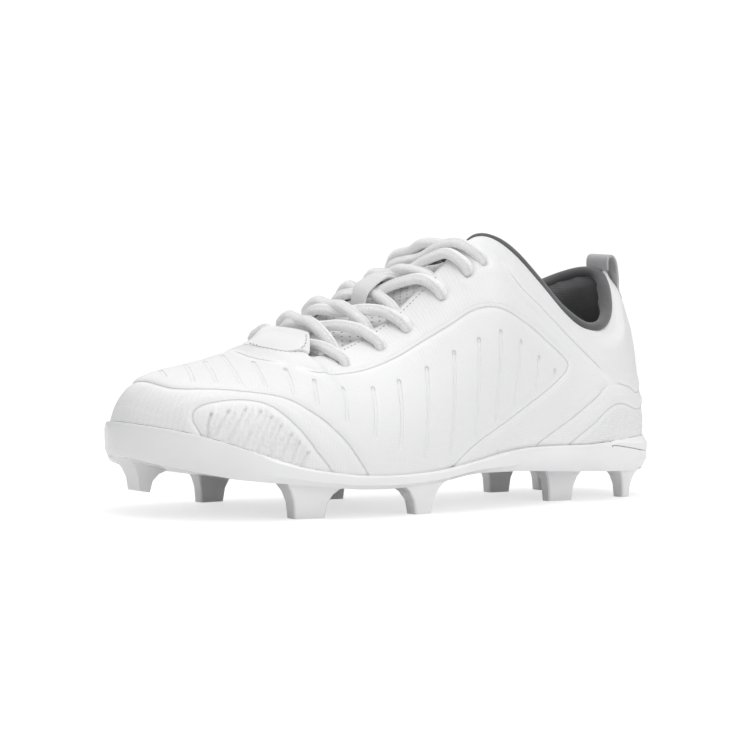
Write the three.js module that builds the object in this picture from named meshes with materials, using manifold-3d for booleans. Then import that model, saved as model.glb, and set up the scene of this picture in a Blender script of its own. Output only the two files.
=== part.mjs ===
// Baseball cleat for the left foot, standing empty on its studs.
// Frame: toe towards -X, heel towards +X, lateral (outer) side towards -Y, floor at Z = 0, millimetres.
// The outline of the sole and the top edge of the upper are two closed curves through the same
// sections, and every piece is worked out between them.
import * as THREE from 'three';
import { mergeVertices } from 'three/addons/utils/BufferGeometryUtils.js';
import Module from 'manifold-3d';

const wasm = await Module();
wasm.setup();

// Driving dimensions
const LENGTH = 295;          // outsole, toe to heel
const BALL_WIDTH = 102;      // outsole across the ball
const TOE_RIM = 40;          // floor to the top of the toe bumper
const STUD_HEIGHT = 12.2;    // floor to the plate at the ball
const INSTEP_HEIGHT = 119.5; // floor to the top corner of the lateral quarter
const PLATE = 3;             // thickness of the outsole's plate
const RIM_WALL = 2.2;        // outsole's rim beside the upper
const HEEL_WEDGE = 8.3;      // midsole that shows at the back of the heel
const SEAT_DEPTH = 2.5;      // depth of the upper's seat in the midsole
const UPPER_WALL = 2.2;      // upper with its lining
const COLLAR_PAD = 2.4;      // foam added inside the wall at the collar
const INSOLE = 4;
const TONGUE = 4.5;
const TAB = 1.8;             // throat tab, a doubled sheet
const LACE_WIDTH = 5.4;
const LACE_THICK = 3.2;
const KEEPER = 1.2;          // lace keeper on the tongue
const WEBBING = 1.6;         // pull loop's webbing, its thickness
const WEBBING_WIDTH = 15;
const LOOP_RISE = 2.7;       // pull loop above the collar
const LOOP_LEG = 17;         // its outer leg, sewn down the heel
const GAP = 0.3;             // between pieces that touch
const SOFT_GAP = 0.8;        // between curved soft pieces that touch
const ROLL = 0.35;           // height of the rolled top edge, a share of the wall
const PAD_FROM = 0.6;        // the collar's padding starts this far up the wall
const PAD_FULL = 0.92;       // and has its whole thickness here

// Sections from heel to toe. x and the half widths are shares of half the length and of the ball's width,
// rims are shares of the toe rim's height, and under, the plate's underside, is a share of the studs' height.
const SOLE_COLUMNS = ['x', 'lateral', 'medial', 'rimLateral', 'rimMedial', 'under'];
const SOLE_ROWS = [
  [1.000, 0.000, 0.000, 0.675, 0.675, 1.10],
  [0.971, -0.157, 0.157, 0.688, 0.688, 1.04],
  [0.895, -0.270, 0.270, 0.700, 0.700, 1.01],
  [0.760, -0.338, 0.324, 0.680, 0.688, 1.05],
  [0.618, -0.368, 0.328, 0.650, 0.675, 1.12],
  [0.469, -0.387, 0.314, 0.656, 0.700, 1.20],
  [0.335, -0.410, 0.304, 0.655, 0.700, 1.28],
  [0.213, -0.436, 0.314, 0.620, 0.675, 1.32],
  [0.071, -0.471, 0.348, 0.545, 0.600, 1.32],
  [-0.085, -0.503, 0.404, 0.475, 0.512, 1.10],
  [-0.246, -0.520, 0.451, 0.450, 0.463, 1.00],
  [-0.355, -0.516, 0.471, 0.457, 0.463, 1.00],
  [-0.436, -0.503, 0.480, 0.480, 0.482, 1.05],
  [-0.598, -0.459, 0.476, 0.575, 0.600, 1.23],
  [-0.760, -0.368, 0.436, 0.770, 0.770, 1.41],
  [-0.876, -0.255, 0.344, 0.912, 0.912, 1.68],
  [-0.960, -0.108, 0.202, 0.982, 0.982, 1.93],
  [-1.000, 0.047, 0.047, 1.007, 1.007, 2.12],
];

// Top edge of the upper at the same sections, shares of half the length, of the ball's width and of the
// instep's height. From the throat's foot forward both sides meet on the ridge of the vamp.
const EDGE_COLUMNS = ['xLateral', 'yLateral', 'zLateral', 'xMedial', 'yMedial', 'zMedial'];
const EDGE_ROWS = [
  [0.885, 0.000, 0.866, 0.885, 0.000, 0.866],
  [0.837, -0.098, 0.775, 0.863, 0.098, 0.843],
  [0.794, -0.191, 0.682, 0.818, 0.191, 0.824],
  [0.733, -0.245, 0.628, 0.760, 0.250, 0.793],
  [0.598, -0.240, 0.680, 0.618, 0.245, 0.736],
  [0.469, -0.222, 0.822, 0.469, 0.221, 0.778],
  [0.335, -0.201, 0.962, 0.335, 0.201, 0.879],
  [0.223, -0.196, 1.000, 0.223, 0.181, 0.948],
  [0.071, -0.172, 0.862, 0.071, 0.186, 0.842],
  [-0.085, -0.142, 0.699, -0.085, 0.186, 0.772],
  [-0.246, -0.127, 0.598, -0.246, 0.176, 0.696],
  [-0.398, -0.128, 0.562, -0.398, 0.180, 0.618],
  [-0.425, 0.037, 0.633, -0.425, 0.037, 0.633],
  [-0.598, 0.069, 0.562, -0.598, 0.069, 0.562],
  [-0.747, 0.064, 0.529, -0.747, 0.064, 0.529],
  [-0.784, 0.059, 0.523, -0.784, 0.059, 0.523],
  [-0.801, 0.054, 0.519, -0.801, 0.054, 0.519],
  [-0.807, 0.051, 0.517, -0.807, 0.051, 0.517],
];

// Bow of the upper's wall at the same sections. rise and reach are the handles at the sole and at the top
// edge, shares of the wall's height and span, lean is the outward lean at the sole, and the slopes are the
// fall of the surface away from the top edge, in degrees.
const BOW_COLUMNS = ['rise', 'lean', 'reach', 'slopeLateral', 'slopeMedial'];
const BOW_ROWS = [
  [0.35, 0.12, 0.30, 70, 70],
  [0.35, 0.12, 0.30, 72, 72],
  [0.35, 0.10, 0.30, 78, 75],
  [0.35, 0.08, 0.30, 80, 75],
  [0.35, 0.05, 0.30, 75, 70],
  [0.35, 0.03, 0.35, 62, 62],
  [0.35, 0.03, 0.35, 52, 55],
  [0.35, 0.04, 0.40, 45, 48],
  [0.35, 0.06, 0.40, 38, 40],
  [0.38, 0.07, 0.45, 30, 28],
  [0.40, 0.07, 0.50, 24, 20],
  [0.42, 0.07, 0.50, 18, 15],
  [0.45, 0.07, 0.50, 10, 6],
  [0.48, 0.06, 0.50, 5, 3],
  [0.50, 0.00, 0.50, 4, 4],
  [0.50, -0.12, 0.50, 6, 6],
  [0.50, -0.22, 0.50, 8, 8],
  [0.50, -0.28, 0.50, 9, 9],
];

const LAST_ROW = SOLE_ROWS.length - 1;
const LOOP = 2 * LAST_ROW;              // sections around the shoe, lateral side first
const THROAT_FOOT = 12;                 // section where the throat ends
const CORNER = 7;                       // section of the quarters' top corners
const FACETS = [2, 2, 2, 3, 3, 3, 3, 5, 5, 5, 4, 3, 3, 3, 3, 2, 2];   // facets between sections
const RISERS = [0, 0.13, 0.27, 0.41, 0.54, 0.66, 0.77, 0.865, 0.92, 0.965, 1];   // rows up the wall
const EYELET_RISER = 7;                 // row of the wall that the eyelets are punched in
const TOP_STEP = 0.98;                  // a place just under the top edge, which gives the edge its direction
// Eyelets from the toe end up, as places along the sections. The throat is skewed: the medial row of
// eyelets sits further forward than the lateral row.
const EYELETS_LATERAL = [10.4, 9.5, 8.85, 8.1, 7.5, 7.1];
const EYELETS_MEDIAL = [10.85, 10.2, 9.5, 8.7, 8.1, 7.5];
const SKIRT = -1;                       // the wall's foot, inside the rim
const UNDER_INSET = 2.5;                // outsole's underside, in from the outline
const FLANK_INSET = 0.4;                // lower break in the outsole's side
const FLANK_BREAKS = [0.3, 0.85];       // both breaks, shares of the way from the underside to the rim
const RIM_ROUND = 0.7;                  // rounded edge of the rim
const STUD_EDGE = 0.6;                  // bevel on a stud's corners
const STUD_LEVELS = [0, 0.45, 0.74, 0.92, 1];
const STUD_ROOT = 0.8;                  // how far a stud's root runs into the plate
const MIDSOLE_EDGE = 1;                 // thickness of the midsole's front edge
const MIDSOLE_CLEAR = 0.45;             // under the upper that it carries
const HEEL_FROM = 0.58;                 // where the midsole starts to come out, a share of half the length
const BED_FROM = -0.10;                 // where the bed starts to rise over the plate
const BED_TO = 0.55;                    // and where it has reached the seat under the rim
const CUTTER_REACH = 4;                 // how far the midsole's cutter runs past the rim, in gaps
const INSOLE_ROUND = 1;
const INSOLE_LIFT = 1.4;                // insole's underside over the bed, which is hollow towards the toe
const TONGUE_TUCK = 0.16;               // share of the wall that the tongue reaches down behind
const TONGUE_CROWN = 2.5;               // bow of the tongue between the throat's edges
const TONGUE_SUNK = 1.2;                // extra depth of its toe end under the vamp
const TONGUE_DROP = 1.8;                // how far the bow turns over towards the tongue's top
const TONGUE_TURN = [3, 2.4];            // sections over which the bow grows, and over which it turns over
const TONGUE_REACH = 2;                 // its sides run this far across, past the throat's edges at 0 and 1
const TONGUE_SECTIONS = [12.3, 11, 10.4, 9.8, 9.2, 8.6, 8, 7.5];
// Front edge of the throat tab, lateral corner first: places around the shoe and up the wall
const TAB_COLUMNS = ['around', 'up'];
const TAB_ROWS = [
  [11.62, 0.85], [12, 0.81], [12.25, 0.83], [12.37, 0.89], [12.45, 0.95], [12.5, 1], [21.55, 0.93], [21.7, 0.86],
  [21.9, 0.8],
];
const TAB_BULGE = 1.3;
const TAB_ACROSS = [0.28, 1];           // its free edge along the bar, shares of the throat's width
const TAB_SHARES = [0, 0.3, 0.6, 0.85, 1, 1.12];   // from its front edge over the lace, and a little past it
const TAB_FACETS = 10;
// Lace keeper: section and how far it is raised over the crossing
const KEEPER_COLUMNS = ['section', 'over'];
const KEEPER_ROWS = [[9.18, 0], [9.08, 0.6], [8.92, 1], [8.68, 1], [8.45, 1], [8.3, 0.6], [8.2, 0]];
const KEPT_CROSSING = 3;
const KEEPER_LIFT = 3.9;                       // keeper over the crossing it holds
const KEEPER_ACROSS = [0.38, 0.47, 0.56, 0.65];
const LOOP_SHARES = [-1, -0.5, 0, 0.5, 1];     // across the webbing
// Webbing loop from its outer end to its inner end: how far over from the outer to the inner face of the
// wall, the height above the wall's top as a share of the loop's rise, and below it as a share of its leg
const LOOP_COLUMNS = ['over', 'rise', 'drop'];
const LOOP_ROWS = [[0, 0, 1], [0, 0, 0.7], [0, 0, 0.42], [-0.1, 0, 0.2], [-0.25, 0, 0.06], [-0.22, 0.55, 0],
  [0.08, 0.95, 0], [0.5, 1, 0], [0.9, 0.6, 0], [1, 0, 0.06], [1, 0, 0.16], [1, 0, 0.26]];
const LACE_SIDES = 8;
const LACE_STEPS = 8;
const LACE_BOWS = [-0.3, 1.5, 1.2, -0.8, -1.2, 0.8];   // bow over the throat, of the bar and of each crossing
const LACE_DIVE = [3.4, 1.4];                  // how far a strand's first places dive towards the tongue
const LACE_STEP_BACK = 0.28;                   // where a lace comes out beside an eyelet, in sections
const LACE_FACE = 0.93;                        // place up the wall whose face a lace lies flat on
const TONGUE_ACROSS = [-1, -0.5, 0, 0.25, 0.5, 0.75, 1, 1.5, TONGUE_REACH];

// Studs. x and y are shares of half the length and of the ball's width, tip is a share of the studs' height,
// turn and slope are in degrees, and the other columns are millimetres.
const STUD_COLUMNS = [
  'x', 'y', 'tip', 'slope', 'length', 'width', 'turn', 'flareFront', 'flareBack', 'flareSide'];
const STUD_ROWS = [
  [-0.528, -0.373, 0, 0, 15, 7, -8, 8, 11, 3],
  [-0.128, -0.431, 0, 0, 10, 6, 4, 14, 9, 3],
  [0.552, -0.231, 0, 0, 14, 5, 0, 7, 7, 3],
  [0.830, -0.220, 0, 0, 5, 5.5, 12, 8, 6, 3],
  [-0.441, 0.436, 0, 0, 13, 5, 4, 6, 9, 2],
  [-0.044, 0.300, 0, 0, 10, 6, -8, 6, 7, 2],
  [0.589, 0.230, 0, 0, 12, 5, 0, 6, 7, 3],
  [0.780, 0.220, 0, 0, 8, 6, -8, 6, 6, 3],
  [-0.882, 0.108, 0.81, 9, 6.5, 8, 0, 9, 12, 3],
];

const read = (rows, columns, row, name) => rows[row][columns.indexOf(name)];
const tidy = (t) => Math.round(t * 1e6) / 1e6;
const opposite = (t) => tidy((LOOP - t) % LOOP);
const mirrored = (t) => tidy(Math.min(t, LOOP - t));
const isLateral = (t) => t <= LAST_ROW;
const smooth = (x, low, high) => THREE.MathUtils.smoothstep(x, low, high);

// A closed run of one value per section, as a smooth function of the place around the shoe
function around(valueAt) {
  const values = Array.from({ length: LOOP }, (_, i) => valueAt(mirrored(i), isLateral(i)));
  const at = (i) => values[(i + LOOP) % LOOP];
  return (t) => {
    const i = Math.floor(t);
    const f = t - i;
    const [a, b, c, d] = [at(i - 1), at(i), at(i + 1), at(i + 2)];
    return 0.5 * (2 * b + (c - a) * f + (2 * a - 5 * b + 4 * c - d) * f ** 2
      + (3 * b - a - 3 * c + d) * f ** 3);
  };
}

const outlinePoints = Array.from({ length: LOOP }, (_, i) => new THREE.Vector3(
  read(SOLE_ROWS, SOLE_COLUMNS, mirrored(i), 'x') * LENGTH / 2,
  read(SOLE_ROWS, SOLE_COLUMNS, mirrored(i), isLateral(i) ? 'lateral' : 'medial') * BALL_WIDTH, 0));
const outlineCurve = new THREE.CatmullRomCurve3(outlinePoints, true, 'centripetal');

function edgePoint(row, side) {
  return new THREE.Vector3(
    read(EDGE_ROWS, EDGE_COLUMNS, row, `x${side}`) * LENGTH / 2,
    read(EDGE_ROWS, EDGE_COLUMNS, row, `y${side}`) * BALL_WIDTH,
    read(EDGE_ROWS, EDGE_COLUMNS, row, `z${side}`) * INSTEP_HEIGHT);
}
const openingPoints = [];
for (let row = 0; row <= THROAT_FOOT; row += 1) openingPoints.push(edgePoint(row, 'Lateral'));
for (let row = THROAT_FOOT - 1; row > 0; row -= 1) openingPoints.push(edgePoint(row, 'Medial'));
const openingCurve = new THREE.CatmullRomCurve3(openingPoints, true, 'centripetal');
const ridgePoints = EDGE_ROWS.slice(THROAT_FOOT).map((_, i) => edgePoint(THROAT_FOOT + i, 'Lateral'));
const ridgeCurve = new THREE.CatmullRomCurve3(ridgePoints, false, 'centripetal');

const rimHeight = around((row, lateral) =>
  TOE_RIM * read(SOLE_ROWS, SOLE_COLUMNS, row, lateral ? 'rimLateral' : 'rimMedial'));
const underHeight = around((row) => STUD_HEIGHT * read(SOLE_ROWS, SOLE_COLUMNS, row, 'under'));
const rise = around((row) => read(BOW_ROWS, BOW_COLUMNS, row, 'rise'));
const lean = around((row) => read(BOW_ROWS, BOW_COLUMNS, row, 'lean'));
const reach = around((row) => read(BOW_ROWS, BOW_COLUMNS, row, 'reach'));
const slope = around((row, lateral) => THREE.MathUtils.degToRad(
  read(BOW_ROWS, BOW_COLUMNS, row, lateral ? 'slopeLateral' : 'slopeMedial')));

// Places around the shoe where every swept piece has its facets, so that neighbours stay parallel
const STATIONS = [];
for (let i = 0; i < LOOP; i += 1) {
  const steps = FACETS[isLateral(i + 0.5) ? i : LOOP - 1 - i];
  for (let k = 0; k < steps; k += 1) STATIONS.push(tidy(i + k / steps));
}

// Outline of the sole, moved inwards by inset, at height z
function outline(t, inset, z) {
  const place = (((t / LOOP) % 1) + 1) % 1;
  const point = outlineCurve.getPoint(place);
  const tangent = outlineCurve.getTangent(place);
  return new THREE.Vector3(point.x + tangent.y * inset, point.y - tangent.x * inset, z);
}
const outward = (t) => outline(t, -1, 0).sub(outline(t, 0, 0));

function topPoint(t) {
  const row = mirrored(t);
  if (row >= THROAT_FOOT) return ridgeCurve.getPoint((row - THROAT_FOOT) / (LAST_ROW - THROAT_FOOT));
  const place = isLateral(t) ? t : openingPoints.length - row;
  return openingCurve.getPoint(place / openingPoints.length);
}

// The part of the heel where the midsole comes out past the outsole's rim, 0 to 1
const heelShare = (t) => smooth(outline(t, 0, 0).x, HEEL_FROM * LENGTH / 2, LENGTH / 2);
const outsoleRim = (t) => rimHeight(t) - HEEL_WEDGE * heelShare(t);
const plateTop = (t) => underHeight(t) + PLATE;
// Height of the surface that carries the upper and the insole: the plate in front, the midsole behind
function bedHeight(t) {
  const raised = smooth(outline(t, 0, 0).x, BED_FROM * LENGTH / 2, BED_TO * LENGTH / 2);
  return THREE.MathUtils.lerp(plateTop(t) + GAP, rimHeight(t) - SEAT_DEPTH, raised);
}
const UPPER_INSET = RIM_WALL + GAP;

// Outer surface of the upper. t goes around the shoe, v up the wall from the rim (0) to the top edge (1),
// and from 0 down to SKIRT it is the straight foot inside the rim.
function outer(t, v) {
  const foot = outline(t, UPPER_INSET, rimHeight(t));
  if (v <= 0) return foot.setZ(THREE.MathUtils.lerp(rimHeight(t), bedHeight(t), -v));
  const top = topPoint(t);
  const height = top.z - foot.z;
  const away = new THREE.Vector3(foot.x - top.x, foot.y - top.y, 0);
  const span = Math.hypot(away.length(), height);
  away.normalize();
  const low = foot.clone().addScaledVector(outward(t), lean(t) * rise(t) * height);
  low.z += rise(t) * height;
  const high = top.clone().addScaledVector(away, Math.cos(slope(t)) * reach(t) * span);
  high.z -= Math.sin(slope(t)) * reach(t) * span;
  return new THREE.CubicBezierCurve3(foot, low, high, top).getPoint(v);
}

function sideNormal(t, v) {
  const STEP = 0.004;
  const place = Math.min(v, 1 - STEP);
  const along = outer(t + STEP, place).sub(outer(t - STEP + LOOP * (t < STEP), place));
  const rising = outer(t, place + STEP).sub(outer(t, place));
  return rising.cross(along).normalize();
}
function normal(t, v) {
  if (v <= 0) return outward(t);
  const n = sideNormal(t, v);
  if (v === 1 && mirrored(t) >= THROAT_FOOT) n.add(sideNormal(opposite(t), v)).normalize();
  return n;
}

// Wall of the upper: the collar is padded from the heel to the quarters' corners
function wall(t, v) {
  const collar = 1 - smooth(mirrored(t), CORNER, CORNER + 2);
  return UPPER_WALL + COLLAR_PAD * collar * smooth(v, PAD_FROM, PAD_FULL);
}
const inside = (t, v, depth) => outer(t, v).addScaledVector(normal(t, v), -depth);

// A closed body from a list of faces whose corners are Vector3, three or four to a face. The faces all
// turn the same way, and they are turned over together where that way is inwards.
function solidFromFaces(faces) {
  const positions = [];
  for (const face of faces) {
    for (let i = 1; i + 1 < face.length; i += 1) {
      for (const corner of [face[0], face[i], face[i + 1]]) positions.push(corner.x, corner.y, corner.z);
    }
  }
  const loose = new THREE.BufferGeometry();
  loose.setAttribute('position', new THREE.Float32BufferAttribute(positions, 3));
  const merged = mergeVertices(loose, 1e-3);
  const place = merged.attributes.position;
  const corner = (i) => new THREE.Vector3().fromBufferAttribute(place, i);
  const source = merged.index.array;
  const index = [];
  let volume = 0;
  for (let i = 0; i < source.length; i += 3) {
    const [a, b, c] = [source[i], source[i + 1], source[i + 2]];
    if (a === b || b === c || c === a) continue;
    index.push(a, b, c);
    volume += corner(a).dot(corner(b).cross(corner(c)));
  }
  if (volume < 0) index.reverse();
  merged.setIndex(index);
  return merged;
}

// Faces between two rings or strips that have the same number of points
function bridge(first, second, closed) {
  const faces = [];
  const count = closed ? first.length : first.length - 1;
  for (let i = 0; i < count; i += 1) {
    const j = (i + 1) % first.length;
    faces.push([first[i], first[j], second[j], second[i]]);
  }
  return faces;
}

// A body swept through closed sections, with its two ends closed or its last section joined to its first
function loft(sections, endless) {
  const faces = [];
  for (let i = 0; i + 1 < sections.length; i += 1) faces.push(...bridge(sections[i], sections[i + 1], true));
  if (endless) {
    faces.push(...bridge(sections[sections.length - 1], sections[0], true));
  } else {
    faces.push([...sections[0]].reverse(), [...sections[sections.length - 1]]);
  }
  return solidFromFaces(faces);
}

function toManifold(geometry) {
  return new wasm.Manifold(new wasm.Mesh({
    numProp: 3,
    vertProperties: new Float32Array(geometry.attributes.position.array),
    triVerts: new Uint32Array(geometry.index.array),
  }));
}
function fromManifold(solid) {
  const mesh = solid.getMesh();
  const geometry = new THREE.BufferGeometry();
  geometry.setAttribute('position', new THREE.BufferAttribute(new Float32Array(mesh.vertProperties), 3));
  geometry.setIndex(new THREE.BufferAttribute(new Uint32Array(mesh.triVerts), 1));
  return geometry;
}
const joined = (geometries) => fromManifold(geometries.map(toManifold).reduce((sum, next) => sum.add(next)));

// A body between two grids of points, one above the other, rows first
function slab(front, back) {
  const faces = [];
  const last = front.length - 1;
  for (let i = 0; i < last; i += 1) {
    const ring = (k) => [...front[k], ...[...back[k]].reverse()];
    faces.push(...bridge(ring(i), ring(i + 1), true));
  }
  faces.push(...bridge(back[0], front[0], false), ...bridge(front[last], back[last], false));
  return solidFromFaces(faces);
}

// A sheet of even thickness laid on a grid of points
function sheet(grid, thickness) {
  const last = grid.length - 1;
  const width = grid[0].length - 1;
  const facing = (i, j) => {
    const along = grid[Math.min(i + 1, last)][j].clone().sub(grid[Math.max(i - 1, 0)][j]);
    const across = grid[i][Math.min(j + 1, width)].clone().sub(grid[i][Math.max(j - 1, 0)]);
    return along.cross(across).normalize();
  };
  const layer = (share) => grid.map((row, i) => row.map((point, j) =>
    point.clone().addScaledVector(facing(i, j), share * thickness)));
  return slab(layer(0.5), layer(-0.5));
}

const stationAfter = (i) => (i + 1 < STATIONS.length ? STATIONS[i + 1] : LOOP);
const heldEyelet = (i) => {
  const middle = (STATIONS[i] + stationAfter(i)) / 2;
  const half = (stationAfter(i) - STATIONS[i]) / 2;
  const places = isLateral(middle) ? EYELETS_LATERAL : EYELETS_MEDIAL;
  return places.findIndex((at) => mirrored(middle) - half <= at && at < mirrored(middle) + half);
};

// On the vamp's ridge both sides share the lateral side's points
const onRidge = (t, v) => (v === 1 && mirrored(t) >= THROAT_FOOT ? mirrored(t) : t);

// Upper: one hollow wall, open at the collar, down the throat and underneath, with its eyelets punched
function buildUpper() {
  const rows = [SKIRT, ...RISERS];
  const top = rows.length - 1;
  const skin = STATIONS.map((t) => rows.map((v) => outer(onRidge(t, v), v)));
  const lining = STATIONS.map((t) => rows.map((v) => inside(onRidge(t, v), v, wall(t, v))));
  const crown = STATIONS.map((t, i) => {
    const rising = outer(t, 1).sub(outer(t, TOP_STEP)).normalize();
    const height = ROLL * wall(t, 1) * smooth(THROAT_FOOT - mirrored(t), 0, 0.5);
    return skin[i][top].clone().lerp(lining[i][top], 0.5).addScaledVector(rising, height);
  });
  const faces = [];
  for (let i = 0; i < STATIONS.length; i += 1) {
    const j = (i + 1) % STATIONS.length;
    for (let k = 0; k < top; k += 1) {
      const cell = (grid) => [grid[i][k], grid[j][k], grid[j][k + 1], grid[i][k + 1]];
      if (k === EYELET_RISER + 1 && heldEyelet(i) >= 0) {
        faces.push(...bridge(cell(skin), cell(lining), true));
      } else {
        faces.push(cell(skin), cell(lining).reverse());
      }
    }
    faces.push([skin[j][0], skin[i][0], lining[i][0], lining[j][0]]);
    if (mirrored((STATIONS[i] + stationAfter(i)) / 2) < THROAT_FOOT) {
      faces.push([skin[i][top], skin[j][top], crown[j], crown[i]]);
      faces.push([crown[i], crown[j], lining[j][top], lining[i][top]]);
    }
  }
  return solidFromFaces(faces);
}

// A body swept around the sole's outline from strips that run from the middle line underneath, out
// over the rim and back to the middle line above
function aroundSole(strip, stations) {
  const strips = stations.map((t) => {
    const own = strip(t);
    const other = strip(opposite(t));
    const last = own.length - 1;
    const under = own[0].clone().add(other[0]).multiplyScalar(0.5);
    const over = own[last].clone().add(other[last]).multiplyScalar(0.5);
    return [under, ...own, over];
  });
  const faces = [];
  strips.forEach((points, i) => faces.push(...bridge(points, strips[(i + 1) % strips.length], false)));
  return solidFromFaces(faces);
}

// Outsole's plate with the rim that wraps up around the toe and cups the heel
function outsoleStrip(t) {
  const [under, rim] = [underHeight(t), rimHeight(t)];
  const flank = (share) => THREE.MathUtils.lerp(under, rim, share);
  return [
    outline(t, UNDER_INSET, under),
    outline(t, FLANK_INSET, flank(FLANK_BREAKS[0])),
    outline(t, 0, flank(FLANK_BREAKS[1])),
    outline(t, RIM_ROUND, rim),
    outline(t, RIM_WALL, rim),
    outline(t, RIM_WALL, plateTop(t)),
  ];
}

// Height of the plate's underside at a place along the shoe
function undersideAt(x) {
  const share = THREE.MathUtils.clamp(x / (LENGTH / 2), -1, 1);
  const row = SOLE_ROWS.findIndex((_, i) => i > 0 && read(SOLE_ROWS, SOLE_COLUMNS, i, 'x') <= share);
  const [a, b] = [read(SOLE_ROWS, SOLE_COLUMNS, row - 1, 'x'), read(SOLE_ROWS, SOLE_COLUMNS, row, 'x')];
  return THREE.MathUtils.lerp(underHeight(row - 1), underHeight(row), (a - share) / (a - b));
}

// A moulded stud: flat tip on the floor, sides that flare in quarter arcs into the plate
function stud(row) {
  const value = (name) => row[STUD_COLUMNS.indexOf(name)];
  const x = value('x') * LENGTH / 2;
  const y = value('y') * BALL_WIDTH;
  const tip = value('tip') * STUD_HEIGHT;
  const slope = Math.tan(THREE.MathUtils.degToRad(value('slope')));
  const turn = THREE.MathUtils.degToRad(value('turn'));
  const sections = STUD_LEVELS.map((level) => {
    const flare = 1 - Math.sqrt(1 - level * level);
    const front = -value('length') / 2 - flare * value('flareFront');
    const back = value('length') / 2 + flare * value('flareBack');
    const side = value('width') / 2 + flare * value('flareSide');
    const ring = [
      [front + STUD_EDGE, -side], [back - STUD_EDGE, -side],
      [back, -side + STUD_EDGE], [back, side - STUD_EDGE],
      [back - STUD_EDGE, side], [front + STUD_EDGE, side],
      [front, side - STUD_EDGE], [front, -side + STUD_EDGE],
    ];
    return ring.map(([u, w]) => {
      const along = x + u * Math.cos(turn) - w * Math.sin(turn);
      const z = THREE.MathUtils.lerp(tip - u * slope, undersideAt(along) + STUD_ROOT, level);
      return new THREE.Vector3(along, y + u * Math.sin(turn) + w * Math.cos(turn), z);
    });
  });
  return loft(sections, false);
}

// Midsole: a wedge under the heel and the arch, which comes out through the outsole's rim at the heel.
// Grown by the gap it is also the cutter that clears its place in the rim.
function midsoleBody(grow) {
  const carried = (t) => bedHeight(t) - plateTop(t) - 2 * GAP > MIDSOLE_EDGE;
  const places = STATIONS.filter((t) => carried(t) && carried(opposite(t)));
  places.sort((a, b) => ((a + LOOP / 2) % LOOP) - ((b + LOOP / 2) % LOOP));
  const strip = (t) => {
    const seat = RIM_WALL + GAP - grow;
    const past = grow * CUTTER_REACH;
    const line = outsoleRim(t) + GAP - grow;
    const top = grow > 0 ? rimHeight(t) + past : bedHeight(t) - MIDSOLE_CLEAR;
    const low = outline(t, seat, plateTop(t) + GAP);
    const ledge = outline(t, seat, bedHeight(t) - 3 * GAP - 2 * grow);
    if (rimHeight(t) - outsoleRim(t) < 3 * GAP) {
      return [low, ledge, ledge, ledge, ledge, outline(t, seat, top)];
    }
    return [
      low,
      outline(t, seat, line),
      outline(t, RIM_ROUND / 2 - past, line),
      outline(t, -past, THREE.MathUtils.lerp(line, rimHeight(t), 0.5)),
      outline(t, RIM_WALL - past, rimHeight(t) + past),
      outline(t, RIM_WALL, top),
    ];
  };
  const strips = places.map((t) => {
    const own = strip(t);
    const other = strip(opposite(t));
    const last = own.length - 1;
    const under = own[0].clone().add(other[0]).multiplyScalar(0.5);
    const over = own[last].clone().add(other[last]).multiplyScalar(0.5);
    return [under, ...own, over];
  });
  const faces = [];
  for (let i = 0; i + 1 < strips.length; i += 1) faces.push(...bridge(strips[i], strips[i + 1], false));
  faces.push(...bridge(strips[strips.length - 1], strips[0], false));
  return solidFromFaces(faces);
}
const cup = toManifold(aroundSole(outsoleStrip, STATIONS)).subtract(toManifold(midsoleBody(GAP)));
const buildMidsole = () => fromManifold(toManifold(midsoleBody(0)).subtract(cup));
function buildOutsole() {
  return fromManifold(STUD_ROWS.map(stud).map(toManifold).reduce((sum, next) => sum.add(next), cup));
}

// Insole: a flat bed of foam inside the upper
function buildInsole() {
  const inset = UPPER_INSET + UPPER_WALL + SOFT_GAP;
  const sections = Array.from({ length: 2 * LOOP }, (_, i) => i / 2);
  return aroundSole((t) => [
    outline(t, inset, bedHeight(t) + INSOLE_LIFT),
    outline(t, inset, bedHeight(t) + INSOLE_LIFT + INSOLE - INSOLE_ROUND),
    outline(t, inset + INSOLE_ROUND, bedHeight(t) + INSOLE_LIFT + INSOLE),
  ], sections);
}

// Direction straight out of the throat at a section
const throatUp = (s) => sideNormal(s, 1).add(sideNormal(LOOP - s, 1)).normalize();

// A place on the tongue's face: across runs from the lateral edge of the throat (0) to the medial edge (1),
// and past them it follows the lining of each side down from the edge.
function tonguePlace(s, across, lift) {
  const sunk = TONGUE_SUNK * smooth(s, THROAT_FOOT - 1.5, THROAT_FOOT);
  const depth = (t, v) => inside(t, v, wall(t, v) + SOFT_GAP + sunk - lift);
  if (s >= THROAT_FOOT) {
    const side = Math.abs(across - 0.5) / (TONGUE_REACH - 0.5);
    return depth(across < 0.5 ? s : LOOP - s, 1 - TONGUE_TUCK * side);
  }
  if (across <= 0) return depth(s, 1 + across * TONGUE_TUCK);
  if (across >= 1) return depth(LOOP - s, 1 - (across - 1) * TONGUE_TUCK);
  const drop = TONGUE_DROP * smooth(CORNER + TONGUE_TURN[0] - s, 0, TONGUE_TURN[1]);
  const crown = TONGUE_CROWN * smooth(THROAT_FOOT - s, 0, TONGUE_TURN[0]) * (1 - drop);
  return depth(s, 1).lerp(depth(LOOP - s, 1), across)
    .addScaledVector(throatUp(s), crown * 4 * across * (1 - across));
}
function buildTongue() {
  const place = (s) => TONGUE_ACROSS.map((across) => tonguePlace(s, across, -TONGUE / 2));
  const grid = TONGUE_SECTIONS.map(place);
  return sheet(grid, TONGUE);
}

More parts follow.
